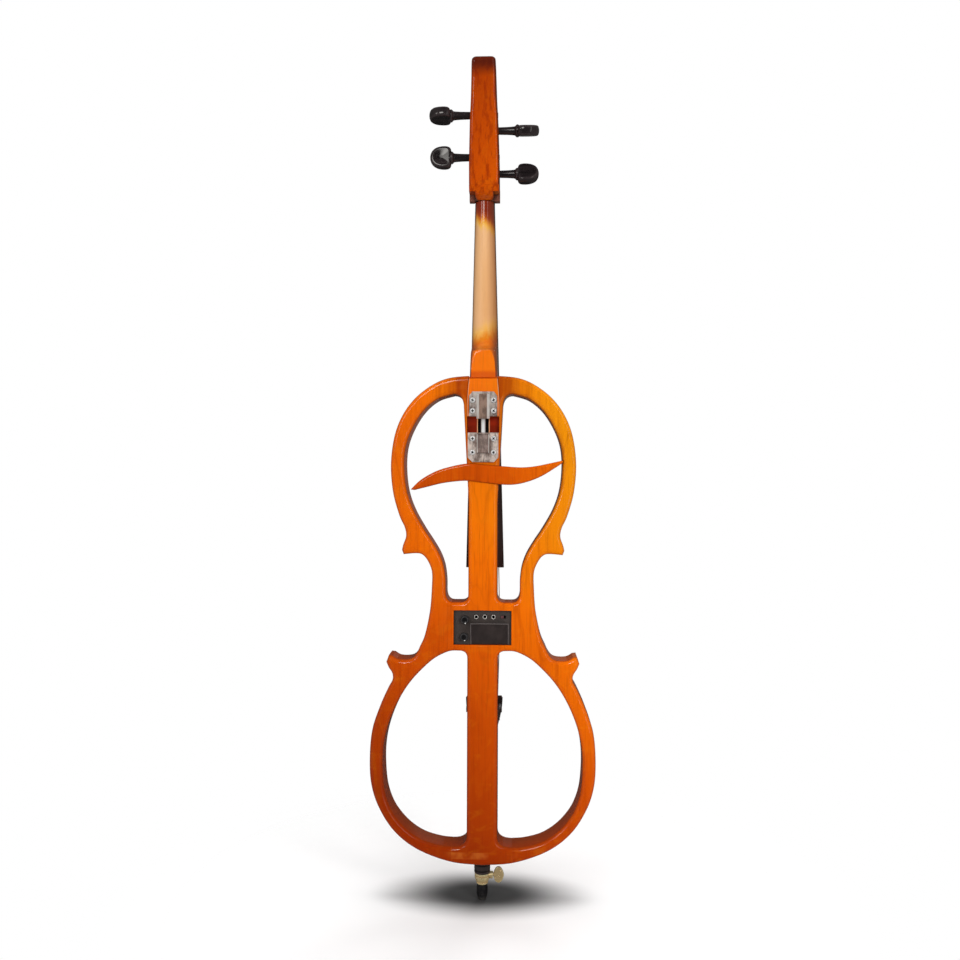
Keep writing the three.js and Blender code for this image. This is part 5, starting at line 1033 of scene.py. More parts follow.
def build_neck():
    top, start = NECK_TOP - FIT_GAP, NECK_ROOT + HEEL_SWEEP_HEIGHT
    top_back = board_face(top) - FIT_GAP - NECK_AT_NUT
    shaft_back = board_face(start) - FIT_GAP - NECK_AT_HEEL
    rings = []
    for share in (i / SHAFT_RINGS for i in range(SHAFT_RINGS)):
        back = top_back + (shaft_back - top_back) * share
        rings.append(neck_section(top + (start - top) * share, back, *SHAFT_SHAPE))
    for drop, reach, roundness, straight in spline(HEEL_SWEEP, 6):
        back = shaft_back + (-HEEL_PROUD - shaft_back) * reach
        rings.append(neck_section(start - drop * HEEL_SWEEP_HEIGHT, back, roundness, straight))
    neck = make_object("neck_carved", loft(rings))
    front = HEEL_BLOCK + mirrored(HEEL_BLOCK)
    tongue = block((-HEEL_HALF, HEEL_HALF), TONGUE_DEPTHS, (TONGUE_END, HEEL_END + OVERRUN))
    slot = block((-TONGUE_SLOT_HALF, TONGUE_SLOT_HALF), (0, TONGUE_SLOT_DEPTH),
                 (TONGUE_END - OVERRUN, HEEL_END))
    joint_groove = [(depth - HEEL_PROUD, JOINT_LINE + rise) for depth, rise in JOINT_GROOVE]
    rod_groove = block((-GROOVE_HALF, GROOVE_HALF), (-HEEL_PROUD - OVERRUN, GROOVE_DEPTH),
                       (HEEL_END - OVERRUN, HEEL_END + GROOVE_REACH))
    carve(
        neck,
        ("UNION", slab([front], -HEEL_PROUD, HEEL_SEAT_DEPTH, EASED_EDGE, 4)),
        ("UNION", tongue),
        ("DIFFERENCE", slot),
        ("DIFFERENCE", along_x(slab([joint_groove], -40, 40))),
        ("DIFFERENCE", rod_groove),
    )
    show(neck, neck_wood, "neck")


def arch_height(half, x):
    """How much higher the board's arch is at x than at its edge."""
    return math.sqrt(BOARD_RADIUS ** 2 - x ** 2) - math.sqrt(BOARD_RADIUS ** 2 - half ** 2)


def arch_section(edge, base, z, half, steps=32):
    """A flat base with an arch above it that starts at the height of the edge."""
    ring = [(-half, base, z), (half, base, z)]
    for i in range(steps + 1):
        x = half - 2 * half * i / steps
        ring.append((x, base + edge + arch_height(half, x), z))
    return ring


def build_fingerboard():
    low = NECK_TOP - BOARD_LENGTH
    ends = [arch_section(BOARD_EDGE, board_face(z), z, board_half(z)) for z in (low, NECK_TOP)]
    show(make_object("fingerboard_planed", loft(ends)), ebony, "fingerboard", bevel=0.8, segments=3)
    foot = NECK_TOP + FIT_GAP
    ends = [arch_section(NUT_EDGE, NECK_FACE + FIT_GAP, z, NUT_WIDTH / 2) for z in (foot, foot + NUT_LENGTH)]
    show(make_object("nut_filed", loft(ends)), ebony, "nut", bevel=0.7, segments=3)


# Pegbox: heights above the neck's top, depths behind its sloping front.
# Its depth and its half-width are shares at each share of its height.
PEGBOX_HEIGHT, PEGBOX_WIDTH, PEGBOX_THICKNESS = 200.5, 48, 36
TILT = math.tan(math.radians(15))
PEGBOX_BACK = [(0.0, 0.55), (0.008, 0.6), (0.035, 0.8), (0.08, 0.95), (0.14, 1), (0.87, 0.8), (0.92, 0.87),
               (0.955, 0.88), (0.975, 0.82), (0.99, 0.7), (0.998, 0.55), (1, 0.36)]
PEGBOX_STEP = 0.05
PEGBOX_FRONT = [(0.0, 0.38), (0.003, 0.47), (0.01, 0.54), (0.02, 0.59), (0.03, 0.605), (0.049, 0.61),
                (PEGBOX_STEP, 0.995), (0.25, 0.985), (0.55, 0.91), (0.71, 0.83), (0.95, 0.765),
                (0.972, 0.745), (0.985, 0.71), (0.993, 0.67), (1, 0.58)]
SHOULDER_BACK = 33.7
CHIN_STATIONS = [0, 0.0015, 0.005, 0.01, 0.018, 0.026, 0.036, 0.049, PEGBOX_STEP, 0.07, 0.091]
HEAD_STATIONS = [0.0915 + i * 0.03 for i in range(28)]
HEAD_STATIONS += [0.925, 0.94, 0.955, 0.965, 0.975, 0.983, 0.99, 0.995, 0.998, 1]
CHIN_CORNER, HEAD_CORNER, FRONT_CORNER, BACK_CROWN = 3, 5.5, 1.5, 1.1
# The string cavity's ends: share of the height, half-width, depth behind the face and reach before it
CAVITY_ENDS = [(0.05, 15, 27, 36), (0.86, 12.4, 0.8 * PEGBOX_THICKNESS - 9, 5)]
PEG_HOLE = [(4.9, -30), (5.8, 30)]
PEG_HEIGHTS = {"right_lower": 38.5, "left_lower": 62.6, "right_upper": 99.7, "left_upper": 121.7}
PEG_ANGLES = {"right_lower": -27, "left_lower": 0, "right_upper": 106, "left_upper": 82}
PEG_AXIS_DEPTH = 14.5


def read_table(table, share):
    """A table's value at a share, straight between its rows."""
    for (a, low), (b, high) in zip(table, table[1:]):
        if share <= b:
            return low + (high - low) * (share - a) / (b - a)
    return table[-1][1]


def pegbox_face(height):
    return NECK_FACE - height * TILT


def rounded_ring(half, back, front, back_radius, front_radius, crown, z, steps=8):
    """A rectangle with round corners and a back that swells by crown in its middle."""
    room = min(half, (front - back) / 2) * 0.98
    back_radius, front_radius = min(back_radius, room), min(front_radius, room)
    corners = [(half - back_radius, back + back_radius, back_radius, -90),
               (half - front_radius, front - front_radius, front_radius, 0),
               (front_radius - half, front - front_radius, front_radius, 90),
               (back_radius - half, back + back_radius, back_radius, 180)]
    ring = []
    for x, y, radius, start in corners:
        for i in range(steps + 1):
            angle = math.radians(start + 90 * i / steps)
            px, py = x + radius * math.cos(angle), y + radius * math.sin(angle)
            bulge = crown * (px / half) ** 2 if start in (-90, 180) else 0
            ring.append((px, min(py + bulge, front), z))
    return ring


def pegbox_half(share):
    return read_table(PEGBOX_FRONT, share) * PEGBOX_WIDTH / 2


def pegbox_ring(share, front, corner):
    height = share * PEGBOX_HEIGHT
    back = pegbox_face(height) - read_table(PEGBOX_BACK, share) * PEGBOX_THICKNESS
    z = NECK_TOP + FIT_GAP + height
    return rounded_ring(pegbox_half(share), back, front, corner, FRONT_CORNER, BACK_CROWN, z)


def cavity_ring(share, half, depth, reach):
    height = share * PEGBOX_HEIGHT
    low, high, z = pegbox_face(height) - depth, pegbox_face(height) + reach, NECK_TOP + height
    return [(-half, low, z), (half, low, z), (half, high, z), (-half, high, z)]


def peg_centre(name):
    height = PEG_HEIGHTS[name]
    return Vector((0, pegbox_face(height) - PEG_AXIS_DEPTH, NECK_TOP + height))


def build_pegbox():
    rings = [pegbox_ring(share, SHOULDER_BACK, CHIN_CORNER) for share in CHIN_STATIONS]
    rings += [pegbox_ring(share, pegbox_face(share * PEGBOX_HEIGHT), HEAD_CORNER) for share in HEAD_STATIONS]
    pegbox = make_object("pegbox_carved", loft(rings))
    cuts = [("DIFFERENCE", loft([cavity_ring(*end) for end in CAVITY_ENDS]))]
    for name in PEG_HEIGHTS:
        hole = lathe(PEG_HOLE, "x", 32)
        if name.startswith("left"):
            hole = hole.turned(180, "Z")
        cuts.append(("DIFFERENCE", hole.at(*peg_centre(name))))
    carve(pegbox, *cuts)
    show(pegbox, head_lacquer, "pegbox")
    refined("shoulder_block", shoulder_stain, 1.2, 3)


# Pegs: head outline as shares of its length and half-width
PEG_HEAD = [(0, 0.55), (0, 0.86), (0.08, 1), (0.33, 1), (0.76, 1), (1, 0.6), (1, 0)]
PEG_HEAD_LENGTH, PEG_HEAD_WIDTH, PEG_HEAD_THICKNESS, PEG_HEAD_MIDDLE = 32.9, 34.8, 15, 0.46
PEG_SHAFT, PEG_COLLAR = 24, 51  # where the shaft leaves the pegbox, and where its rings start
PEG_END_PROFILE = [(3.6, 0), (4.2, 0.5), (4.66, 1.2)]  # from the wall on the far side
PEG_SHAFT_PROFILE = [(5.5, 0), (5.6, 4), (5.8, 12)]
PEG_COLLAR_PROFILE = [(6.2, -9), (6.5, -5), (7.1, -3.2), (8.3, -2.4), (9.1, -1.5), (9.5, -0.4), (9.4, 0.8),
                      (8.8, 2), (7.6, 3.6), (3.5, 7)]
# The head's thickness at each share of its outline, from the rim to the dished middle
PEG_PILLOW = [(1, 0.15), (0.99, 0.38), (0.965, 0.62), (0.93, 0.82), (0.88, 0.94), (0.82, 0.99), (0.74, 1),
              (0.58, 0.97), (0.42, 0.935), (0.25, 0.91), (0.1, 0.9)]


def peg_head(start):
    points = [(start + a * PEG_HEAD_LENGTH, b * PEG_HEAD_WIDTH / 2) for a, b in PEG_HEAD]
    upper = bezier(*points[:4]) + bezier(*points[3:])[1:]
    outline = thinned(upper + flipped(upper))
    centre = Vector((start + PEG_HEAD_LENGTH * PEG_HEAD_MIDDLE, 0))
    rings = []
    for side, rows in ((-1, PEG_PILLOW[::-1]), (1, PEG_PILLOW)):
        for scale, height in rows:
            ring = [centre + (p - centre) * scale for p in outline]
            rings.append([(p[0], side * height * PEG_HEAD_THICKNESS / 2, p[1]) for p in ring])
    return loft(rings)


def build_pegs():
    for name, height in PEG_HEIGHTS.items():
        far = -pegbox_half(height / PEGBOX_HEIGHT) - 0.4
        profile = [(radius, far + out) for radius, out in PEG_END_PROFILE]
        profile += [(radius, PEG_SHAFT + out) for radius, out in PEG_SHAFT_PROFILE]
        profile += [(radius, PEG_COLLAR + out) for radius, out in PEG_COLLAR_PROFILE]
        peg = make_object("peg_%s_turned" % name, lathe(profile, "x", 48))
        carve(peg, ("UNION", peg_head(PEG_COLLAR + 0.6)))
        face = Matrix.Rotation(math.radians(PEG_ANGLES[name]), 4, "X")
        if name.startswith("left"):
            face = face @ Matrix.Rotation(math.pi, 4, "Z")
        spot, origin = peg_centre(name) * MM, ORIGIN * MM
        peg.data.transform(Matrix.Translation(spot - origin) @ face @ Matrix.Translation(origin))
        show(peg, peg_ebony, "peg_" + name, crease=50)


# Bridge, tailpiece and strings
BRIDGE_PLACE, BRIDGE_FOOT, BRIDGE_HEIGHT, BRIDGE_HALF = WAIST_BOTTOM + 17, 52, 81.6, 44
BRIDGE_RADIUS, CREST_HALF = 57, 29.5
BRIDGE_FOOT_HALF, BRIDGE_THINNING = 5.5, 0.727  # half-thickness at the feet, and the share lost on top
BRIDGE_TOP_HALF = 2.1  # half the length of string that lies level on it
BRIDGE_SIDE = [(1, 0), (1, 0.035), (0.93, 0.062), (0.8, 0.1), (0.715, 0.17), (0.7, 0.24), (0.715, 0.32),
               (0.75, 0.39), (0.83, 0.44), (0.84, 0.475), (0.78, 0.505), (0.68, 0.54), (0.6, 0.58),
               (0.58, 0.63), (0.62, 0.69), (0.66, 0.73)]
BRIDGE_ARCH = [(0.59, 0), (0.55, 0.1), (0.42, 0.215), (0.3, 0.27), (0.12, 0.302), (0, 0.31)]
BRIDGE_KIDNEY = [(0.3, 0.4), (0.42, 0.38), (0.5, 0.44), (0.5, 0.52), (0.42, 0.58), (0.33, 0.56), (0.38, 0.49)]
BRIDGE_HEART = [(0, 0.53), (0.07, 0.57), (0.12, 0.62), (0.1, 0.66), (0.04, 0.665), (0, 0.64)]


def bridge_point(share):
    return Vector((share[0] * BRIDGE_HALF, BRIDGE_FOOT + share[1] * BRIDGE_HEIGHT))


def bridge_crest(x):
    return BRIDGE_FOOT + BRIDGE_HEIGHT - BRIDGE_RADIUS + math.sqrt(BRIDGE_RADIUS ** 2 - x ** 2)


def build_bridge():
    tables = (BRIDGE_SIDE[2:], BRIDGE_ARCH, BRIDGE_KIDNEY + BRIDGE_KIDNEY[:1], BRIDGE_HEART)
    side, arch, kidney, heart = (spline([bridge_point(p) for p in table], 5) for table in tables)
    crest = [Vector((x, bridge_crest(x))) for x in (CREST_HALF * (1 - i / 24) for i in range(25))]
    right = arch[::-1] + [bridge_point(p) for p in BRIDGE_SIDE[:2]] + side + crest
    kidney = thinned(kidney)
    loops = [thinned(right + mirrored(right)), kidney, mirrored(kidney), thinned(heart + mirrored(heart))]
    form = along_z(slab(loops, -BRIDGE_FOOT_HALF, BRIDGE_FOOT_HALF, 0.6, 2))
    for point in form.points:
        share = (point.y - BRIDGE_FOOT) / BRIDGE_HEIGHT
        point.z = BRIDGE_PLACE + point.z * (1 - BRIDGE_THINNING * min(max(share, 0), 1))
    show(make_object("bridge_carved", form), bridge_wood, "bridge")
    refined("bridge_pickup", pickup_plastic, 0.5)


# Tailpiece, drawn from its upper end downwards on its own face
TAIL_FRAME = Matrix.Translation((0, 97, 241)) @ Matrix.Rotation(-math.radians(7.4), 4, "X")
TAIL_OUTLINE = [(0.93, 0), (1, 0.015), (0.97, 0.07), (0.9, 0.125), (0.8, 0.178), (0.67, 0.26), (0.53, 0.39),
                (0.43, 0.56), (0.38, 0.8), (0.37, 0.98), (0.3, 1)]
TAIL_HALF, TAIL_LENGTH, TAIL_THICKNESS = 30, 231, 9
NUT_SPACING, BRIDGE_SPACING, TAIL_SPACING = 8, 16, 14.4
AXLE_PLACE = (0, -15, -21)
AXLE_PROFILE = [(1.1, -29.1), (1.5, -28.7), (1.5, 28.7), (1.1, 29.1)]
AXLE_HOLE, SCREW_HOLE = [(1.8, -60), (1.8, 60)], [(2.3, -14), (2.3, 5)]
SCREW_ROW, CORD_HOLES, HOLE_DEPTH = -34, 5, -4.5
CORD_HOLE = [(1.8, -236), (1.8, -219)]
STRING_FRET = [(-24.9, 24.9), (-4.5, 2), (-6, -3)]
POST_HALF, POST_DEPTHS, POST_RUN = 1.5, (-18, -4.5), (-25.5, -16.5)
LEVER_SLOT_HALF, LEVER_SLOT_DEPTHS, LEVER_SLOT_RUN = 4.3, (-14, 5), (-22.7, -12.7)
TUNER_PROFILE = [(1.4, -12.3), (2, -11.5), (2, 0.3), (4.2, 0.3), (4.5, 0.8), (4.5, 5.2), (4.1, 5.8), (3.2, 6),
                 (2.6, 5.5), (0.5, 5.3)]
KNURL_SIDES = 96
STRING_NAMES = ["c", "g", "d", "a"]
STRING_RADII = {"c": 0.85, "g": 0.7, "d": 0.55, "a": 0.4}
ROUND_SHARE = 0.865  # keeps a round string inside the six-sided solid
STRING_FOOT = [(2, -2.7), (2, -6.3), (0, -12.4)]  # over the tailpiece's fret and down to the lever
STRING_PEGS = {"c": "right_lower", "g": "right_upper", "d": "left_upper", "a": "left_lower"}
WINDING_TURNS, WINDING_WIDTH, WINDING_STEPS = 2.5, 6.5, 100
# The last turn's distance from the nut's slot, a turn's height over the peg, and the peg's taper
WINDING_OFFSET, WINDING_LIFT, PEG_TIP_RADIUS, PEG_TAPER = 1.3, 0.6, 4.6, 0.9


def string_x(index, spacing):
    """Where a string lies across a row of four."""
    return (1.5 - index) * spacing


def build_tailpiece():
    right = [Vector((x * TAIL_HALF, -z * TAIL_LENGTH)) for x, z in TAIL_OUTLINE]
    edge = [right[0]] + spline(right[1:10], 8) + [right[10]]
    body = slab([thinned(edge + mirrored(edge))], -TAIL_THICKNESS, 0, EASED_EDGE, 4)
    steps = [("UNION", block(*STRING_FRET))]
    for i in range(-2, 3):
        x = i * TAIL_SPACING - math.copysign(POST_HALF, i) * (abs(i) == 2)
        steps.append(("UNION", block((x - POST_HALF, x + POST_HALF), POST_DEPTHS, POST_RUN)))
    for i in range(4):
        x = string_x(i, TAIL_SPACING)
        slot = block((x - LEVER_SLOT_HALF, x + LEVER_SLOT_HALF), LEVER_SLOT_DEPTHS, LEVER_SLOT_RUN)
        screw_hole = lathe(SCREW_HOLE, "y", 32).at(x, 0, SCREW_ROW)
        steps += [("DIFFERENCE", slot), ("DIFFERENCE", screw_hole)]
    steps.append(("DIFFERENCE", lathe(AXLE_HOLE, "x", 24).at(*AXLE_PLACE)))
    for x in (-CORD_HOLES, CORD_HOLES):
        steps.append(("DIFFERENCE", lathe(CORD_HOLE, "z", 24).at(x, HOLE_DEPTH, 0)))
    tail = make_object("tailpiece_carved", body.moved(TAIL_FRAME))
    carve(tail, *[(operation, form.moved(TAIL_FRAME)) for operation, form in steps])
    show(tail, ebony, "tailpiece")
    axle = lathe(AXLE_PROFILE, "x", 32).at(*AXLE_PLACE)
    show(make_object("tuner_axle_turned", axle.moved(TAIL_FRAME)), nickel, "tuner_axle")


def build_tuners():
    for index, name in enumerate(STRING_NAMES):
        refined("tuner_lever_" + name, black_steel, 0.5)
        form = knurl(lathe(TUNER_PROFILE, "y", KNURL_SIDES), (3, 4, 5), KNURL_SIDES, 0.035, 4)
        form = form.at(string_x(index, TAIL_SPACING), 0, SCREW_ROW).moved(TAIL_FRAME)
        screw = make_object("tuner_screw_%s_knurled" % name, form)
        show(screw, jack_nickel, "tuner_screw_" + name, crease=40)


def winding_points(name, nut_point, radius):
    """A string's turns on its peg, up to where it leaves for the nut."""
    centre = peg_centre(STRING_PEGS[name])
    side = 1 if STRING_PEGS[name].startswith("right") else -1
    outward = math.copysign(1, nut_point.x)
    last_x = nut_point.x - outward * WINDING_OFFSET
    shaft = PEG_TIP_RADIUS + (side * last_x + PEGBOX_WIDTH / 2) / PEGBOX_WIDTH * PEG_TAPER
    ring = shaft + WINDING_LIFT + radius
    dy, dz = nut_point.y - centre.y, nut_point.z - centre.z
    leave = math.atan2(dz, dy) + math.acos(ring / math.hypot(dy, dz))
    points = []
    for i in range(WINDING_STEPS + 1):
        left = 1 - i / WINDING_STEPS
        angle = leave + 2 * math.pi * WINDING_TURNS * left
        x = last_x - outward * WINDING_WIDTH * left
        points.append(Vector((x, centre.y + ring * math.cos(angle), centre.z + ring * math.sin(angle))))
    return points


def build_strings():
    for index, name in enumerate(STRING_NAMES):
        radius = STRING_RADII[name]
        clear = radius + FIT_GAP
        nut_x, bridge_x = string_x(index, NUT_SPACING), string_x(index, BRIDGE_SPACING)
        nut_y = NECK_FACE + FIT_GAP + NUT_EDGE + arch_height(NUT_WIDTH / 2, nut_x) + clear
        bridge_y = bridge_crest(bridge_x) + clear
        high = Vector((nut_x, nut_y, NECK_TOP + NUT_LENGTH + 2 * FIT_GAP))
        points = winding_points(name, high, radius) + [high, (nut_x, nut_y, NECK_TOP - FIT_GAP)]
        points += [(bridge_x, bridge_y, BRIDGE_PLACE + z) for z in (BRIDGE_TOP_HALF, -BRIDGE_TOP_HALF)]
        for rise, z in STRING_FOOT:
            points.append(TAIL_FRAME @ Vector((string_x(index, TAIL_SPACING), rise + clear, z)))
        form = tube(points, radius * ROUND_SHARE, 14)
        show(make_object("string_%s_wound" % name, form, 0.001), string_steel, "string_" + name, crease=60)


CORD_RADIUS, CORD_IN_HOLE = 1.5, (-219.3, -234)
SADDLE_TOP, SADDLE_RISE, PLUG_RADIUS = 58, 10.8, 12.5


def build_tail_cord():
    """A loop from the tailpiece's two holes, over the saddle and round the plug."""
    clear = CORD_RADIUS + FIT_GAP
    reach, over, low = PLUG_RADIUS + clear, SADDLE_TOP + clear, -clear - FIT_GAP
    half = [TAIL_FRAME @ Vector((CORD_HOLES, HOLE_DEPTH, z)) for z in CORD_IN_HOLE]
    half += [Vector((CORD_HOLES, over, SADDLE_RISE)), Vector((2 * CORD_HOLES, over, low))]
    half.append(Vector((reach, BODY_THICKNESS - clear, low)))
    turns = [math.pi * i / 24 for i in range(13)]
    half += [Vector((reach * math.cos(a), PIN_AXIS - reach * math.sin(a), low)) for a in turns]
    path = half + [Vector((-p.x, p.y, p.z)) for p in reversed(half[:-1])]
    show(make_object("tail_cord_laid", tube(path, CORD_RADIUS, 16)), cord_nylon, "tail_cord", crease=60)
    refined("saddle", ebony, 1.5, 4)


# Neck bracket with its rod and screws
PLATE_FLANK, PLATE_TRIM = 19, 1.8  # the upper plate's sides, which the photograph shows further in
ROD_RADIUS, ROD_CHAMFER, ROD_DEPTH = 3.7, 0.7, 4.2
SCREW_SPREAD = 16.2
SCREW_CROSS, CROSS_DEPTHS = [(2.4, 0.75), (0.75, 2.4)], (-4, -0.9)
CROSS_PAINT = (2.6, -2, 0)  # what is painted round a spot: its radius, and the depths that it lies between
SCREW_PROFILE = [(0.4, -2.4), (1.4, -2.36), (2.5, -2.12), (3.4, -1.66), (4.05, -1), (4.35, -0.42), (4.4, 0),
                 (1.8, 0), (1.8, 13), (0.6, 14)]
# Each plate's face, and the heights of its rows
SCREW_ROWS = {"upper": (-5.5, [HEEL_END + share * UPPER_PLATE_LENGTH for share in (0.22, 0.65)]),
              "lower": (-2.5, [MORTISE_END - share * LOWER_PLATE_LENGTH for share in (0.2, 0.67)])}


def build_bracket():
    plate = node_form("upper_bracket")
    for point in plate.points:
        if abs(point.x) > PLATE_FLANK:
            point.x -= math.copysign(PLATE_TRIM, point.x)
    plate = make_object("upper_bracket_filed", plate)
    show(plate, upper_nickel, "upper_bracket", bevel=0.6, segments=3, flatten=True)
    refined("lower_bracket", lower_nickel, 0.8, 3)
    reach = GROOVE_REACH - FIT_GAP
    low, high = MORTISE_END - reach, HEEL_END + reach
    end = ROD_RADIUS - ROD_CHAMFER
    profile = [(end, low), (ROD_RADIUS, low + ROD_CHAMFER), (ROD_RADIUS, high - ROD_CHAMFER), (end, high)]
    rod = lathe(profile, "z", 48).at(0, ROD_DEPTH, 0)
    show(make_object("bracket_rod_turned", rod), rod_chrome, "bracket_rod")


def build_screws():
    pattern = make_object("screw_pattern", lathe(SCREW_PROFILE, "y", 40).at(*ORIGIN))
    for x, z in SCREW_CROSS:
        carve(pattern, ("DIFFERENCE", block((-x, x), CROSS_DEPTHS, (-z, z)).at(*ORIGIN)))
    for plate, (face, rows) in SCREW_ROWS.items():
        for row, z in enumerate(rows):
            for side, word in ((-1, "left"), (1, "right")):
                name = "bracket_screw_%s_%s_%d" % (plate, word, row + 1)
                spot = Vector((side * SCREW_SPREAD, face, z))
                turn = Matrix.Rotation(math.radians(17 + 31 * row + 23 * side), 4, "Y")
                mesh = pattern.data.copy()
                mesh.transform(Matrix.Translation((spot - ORIGIN) * MM) @ turn)
                piece = show(link_object(name + "_turned", mesh), screw_steel, name)
                # The cross in the screw's head is painted black: painted shade in its recess
                paint_faces(piece, bore_shade_black, spot, *CROSS_PAINT)
    bpy.data.objects.remove(pattern)


# Control unit: profiles from the panel's face, places from its centre
PANEL_FACE = 4
KNOBS = {"volume_knob": (-27.5, 12), "tone_knob": (-28.5, -14.5)}
KNOB_PROFILE = [(1, -6.5), (3.2, -6.75), (4.4, -7), (5.2, -6.7), (5.9, -5.6), (6.5, -1.6), (6.5, -0.8),
                (6.3, -0.3), (3, -0.3), (3, 12)]
# A white dot on each knob, set where the knob's glint shows: part indicator and part painted highlight
DOT_X, DOT_Z = 1.2, -4.7
DOT_PROFILE = [(0.05, -6.95), (0.6, -6.95), (0.85, -6.8), (0.85, -6.2), (0.05, -6.2)]
DOT_PAINT, BORE_PAINT = (0.9, -8, -6.1), (2.15, -1, 11.1)
JACKS = {"line_out_jack": -9.8, "headphone_jack": 3.4, "aux_jack": 16.6}
JACK_RISE = 16.2
JACK_PROFILE = [(0.05, 11), (1.7, 11), (1.8, 10.4), (1.9, -0.3), (2.3, -0.8), (2.6, -1.15), (3, -1.2),
                (3.3, -0.9), (3.3, -0.35), (2.55, -0.3), (2.55, 11.6), (2, 12), (0.05, 12)]


def build_controls():
    housing = make_object("control_housing_moulded", node_form("control_housing"))
    show(housing, housing_plastic, "control_housing", bevel=0.45, flatten=True)
    refined("battery_door", door_plastic, 0.4)
    refined("battery", battery_wrap, 1.4, 4)
    refined("power_switch", switch_plastic, 0.5, 3)
    refined("circuit_board", circuit_green, 0.1)
    for name, (x, z) in KNOBS.items():
        form = knurl(lathe(KNOB_PROFILE, "y", KNURL_SIDES), (4, 5, 6), KNURL_SIDES, 0.05, 6)
        # The white dot stands in for the knob's glint as a painted highlight
        form.add(lathe(DOT_PROFILE, "y", 24).at(DOT_X, 0, DOT_Z))
        knob = make_object(name + "_moulded", form.at(x, PANEL_FACE, PANEL_CENTRE + z))
        show(knob, knob_plastic, name, crease=40)
        dot = Vector((x + DOT_X, PANEL_FACE, PANEL_CENTRE + z + DOT_Z))
        paint_faces(knob, glint_dot_paint, dot, *DOT_PAINT)
    for name, x in JACKS.items():
        spot = Vector((x, PANEL_FACE, PANEL_CENTRE + JACK_RISE))
        jack = make_object(name + "_turned", lathe(JACK_PROFILE, "y", 48).at(*spot))
        show(jack, jack_nickel, name)
        # The jack's bore is painted black: painted shade inside it
        paint_faces(jack, bore_shade_black, spot, *BORE_PAINT)


# Endpin: profiles about its axis, heights from the frame's lower end
PLUG_PROFILE = [(9, 35), (9.5, 34.4), (11, -0.3), (12.1, -0.3), (12.5, -1), (12.5, -4), (11.9, -4.6),
                (11.9, -5.6), (12.5, -6.2), (12.5, -12.4), (11.7, -13.2), (11.7, -14.2), (12.5, -15),
                (12.5, -17.2), (12, -18.3), (5.3, -18.3), (5.3, 35), (9, 35)]
COLLAR_TOP, COLLAR_HEIGHT, PIN_BORE = -18.6, 17, 5.4
COLLAR_PROFILE = [(PIN_BORE, 0), (11.2, 0), (11.8, -0.7), (11.8, -2.6), (11.1, -3.2), (11.1, -4),
                  (11.8, -4.7), (11.6, -8), (10.6, -11.2), (9.2, -13.6), (8.9, -14.4), (9.3, -15),
                  (9, -16.4), (8.2, -COLLAR_HEIGHT), (PIN_BORE, -COLLAR_HEIGHT), (PIN_BORE, 0)]
COLLAR_BOSS = [(6, 9), (6, 16.3), (5.4, 17), (5.3, 17)]
BOSS_TRIM = [(-20, 30), (5, 45), (COLLAR_TOP + 0.01, -5)]  # what the boss has above the collar
ROD_BORE, STEM_BORE = [(5.3, -60), (5.3, 0)], [(2.8, 0), (2.8, 22)]
THUMB_HEIGHT, THUMB_LENGTH, THUMB_HALF, THUMB_START, THUMB_THICKNESS = -22, 16, 13.5, 18, 5
THUMB_WING = [(0, 0.2), (0.06, 1.05), (0.8, 1.35), (1, 0)]
THUMB_STEM = [(2, 5.3), (2.5, 5.9), (2.5, 17.4), (3.1, 17.6), (3.1, 18.4), (2.5, 18.6), (2.4, 20), (1, 22)]
PIN_RADIUS, PIN_FOOT, PIN_HEAD = 5, 1, 1.5  # its radius, and the heights of its chamfers
TIP_RADIUS, TIP_HEIGHT = 8.6, 23
TIP_PROFILE = [(0.3, 0), (0.66, 0), (0.78, 0.03), (0.97, 0.36), (1, 0.42), (1, 0.5), (0.93, 0.52),
               (0.93, 0.56), (1, 0.58), (1, 0.66), (0.93, 0.68), (0.93, 0.72), (1, 0.74), (1, 0.82),
               (0.9, 0.96), (0.82, 1), (0.62, 1), (0.62, 0.42)]


def node_span(node):
    """A CAD node's lowest and highest point, in body millimetres."""
    return [corner.z / MM + ORIGIN.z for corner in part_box(node)]


def build_collar():
    show(make_object("endpin_plug_turned", on_pin(lathe(PLUG_PROFILE, "z", 72))), ebony, "endpin_plug")
    profile = [(radius, COLLAR_TOP + drop) for radius, drop in COLLAR_PROFILE]
    collar = make_object("endpin_collar_turned", on_pin(lathe(profile, "z", 72)))
    carve(
        collar,
        ("UNION", on_pin(lathe(COLLAR_BOSS, "x", 48), THUMB_HEIGHT)),
        ("DIFFERENCE", block(*BOSS_TRIM)),
        ("DIFFERENCE", on_pin(lathe(ROD_BORE, "z", 48))),
        ("DIFFERENCE", on_pin(lathe(STEM_BORE, "x", 32), THUMB_HEIGHT)),
    )
    show(collar, brass, "endpin_collar")


def build_thumb_screw():
    upper = bezier(*[(THUMB_START + a * THUMB_LENGTH, b * THUMB_HALF) for a, b in THUMB_WING])
    outline = thinned(upper + flipped(upper))
    wings = slab([outline], -THUMB_THICKNESS / 2, THUMB_THICKNESS / 2, EASED_EDGE, 4)
    thumb = make_object("thumb_screw_cast", on_pin(wings, THUMB_HEIGHT))
    carve(thumb, ("UNION", on_pin(lathe(THUMB_STEM, "x", 32), THUMB_HEIGHT)))
    show(thumb, brass, "endpin_thumb_screw")


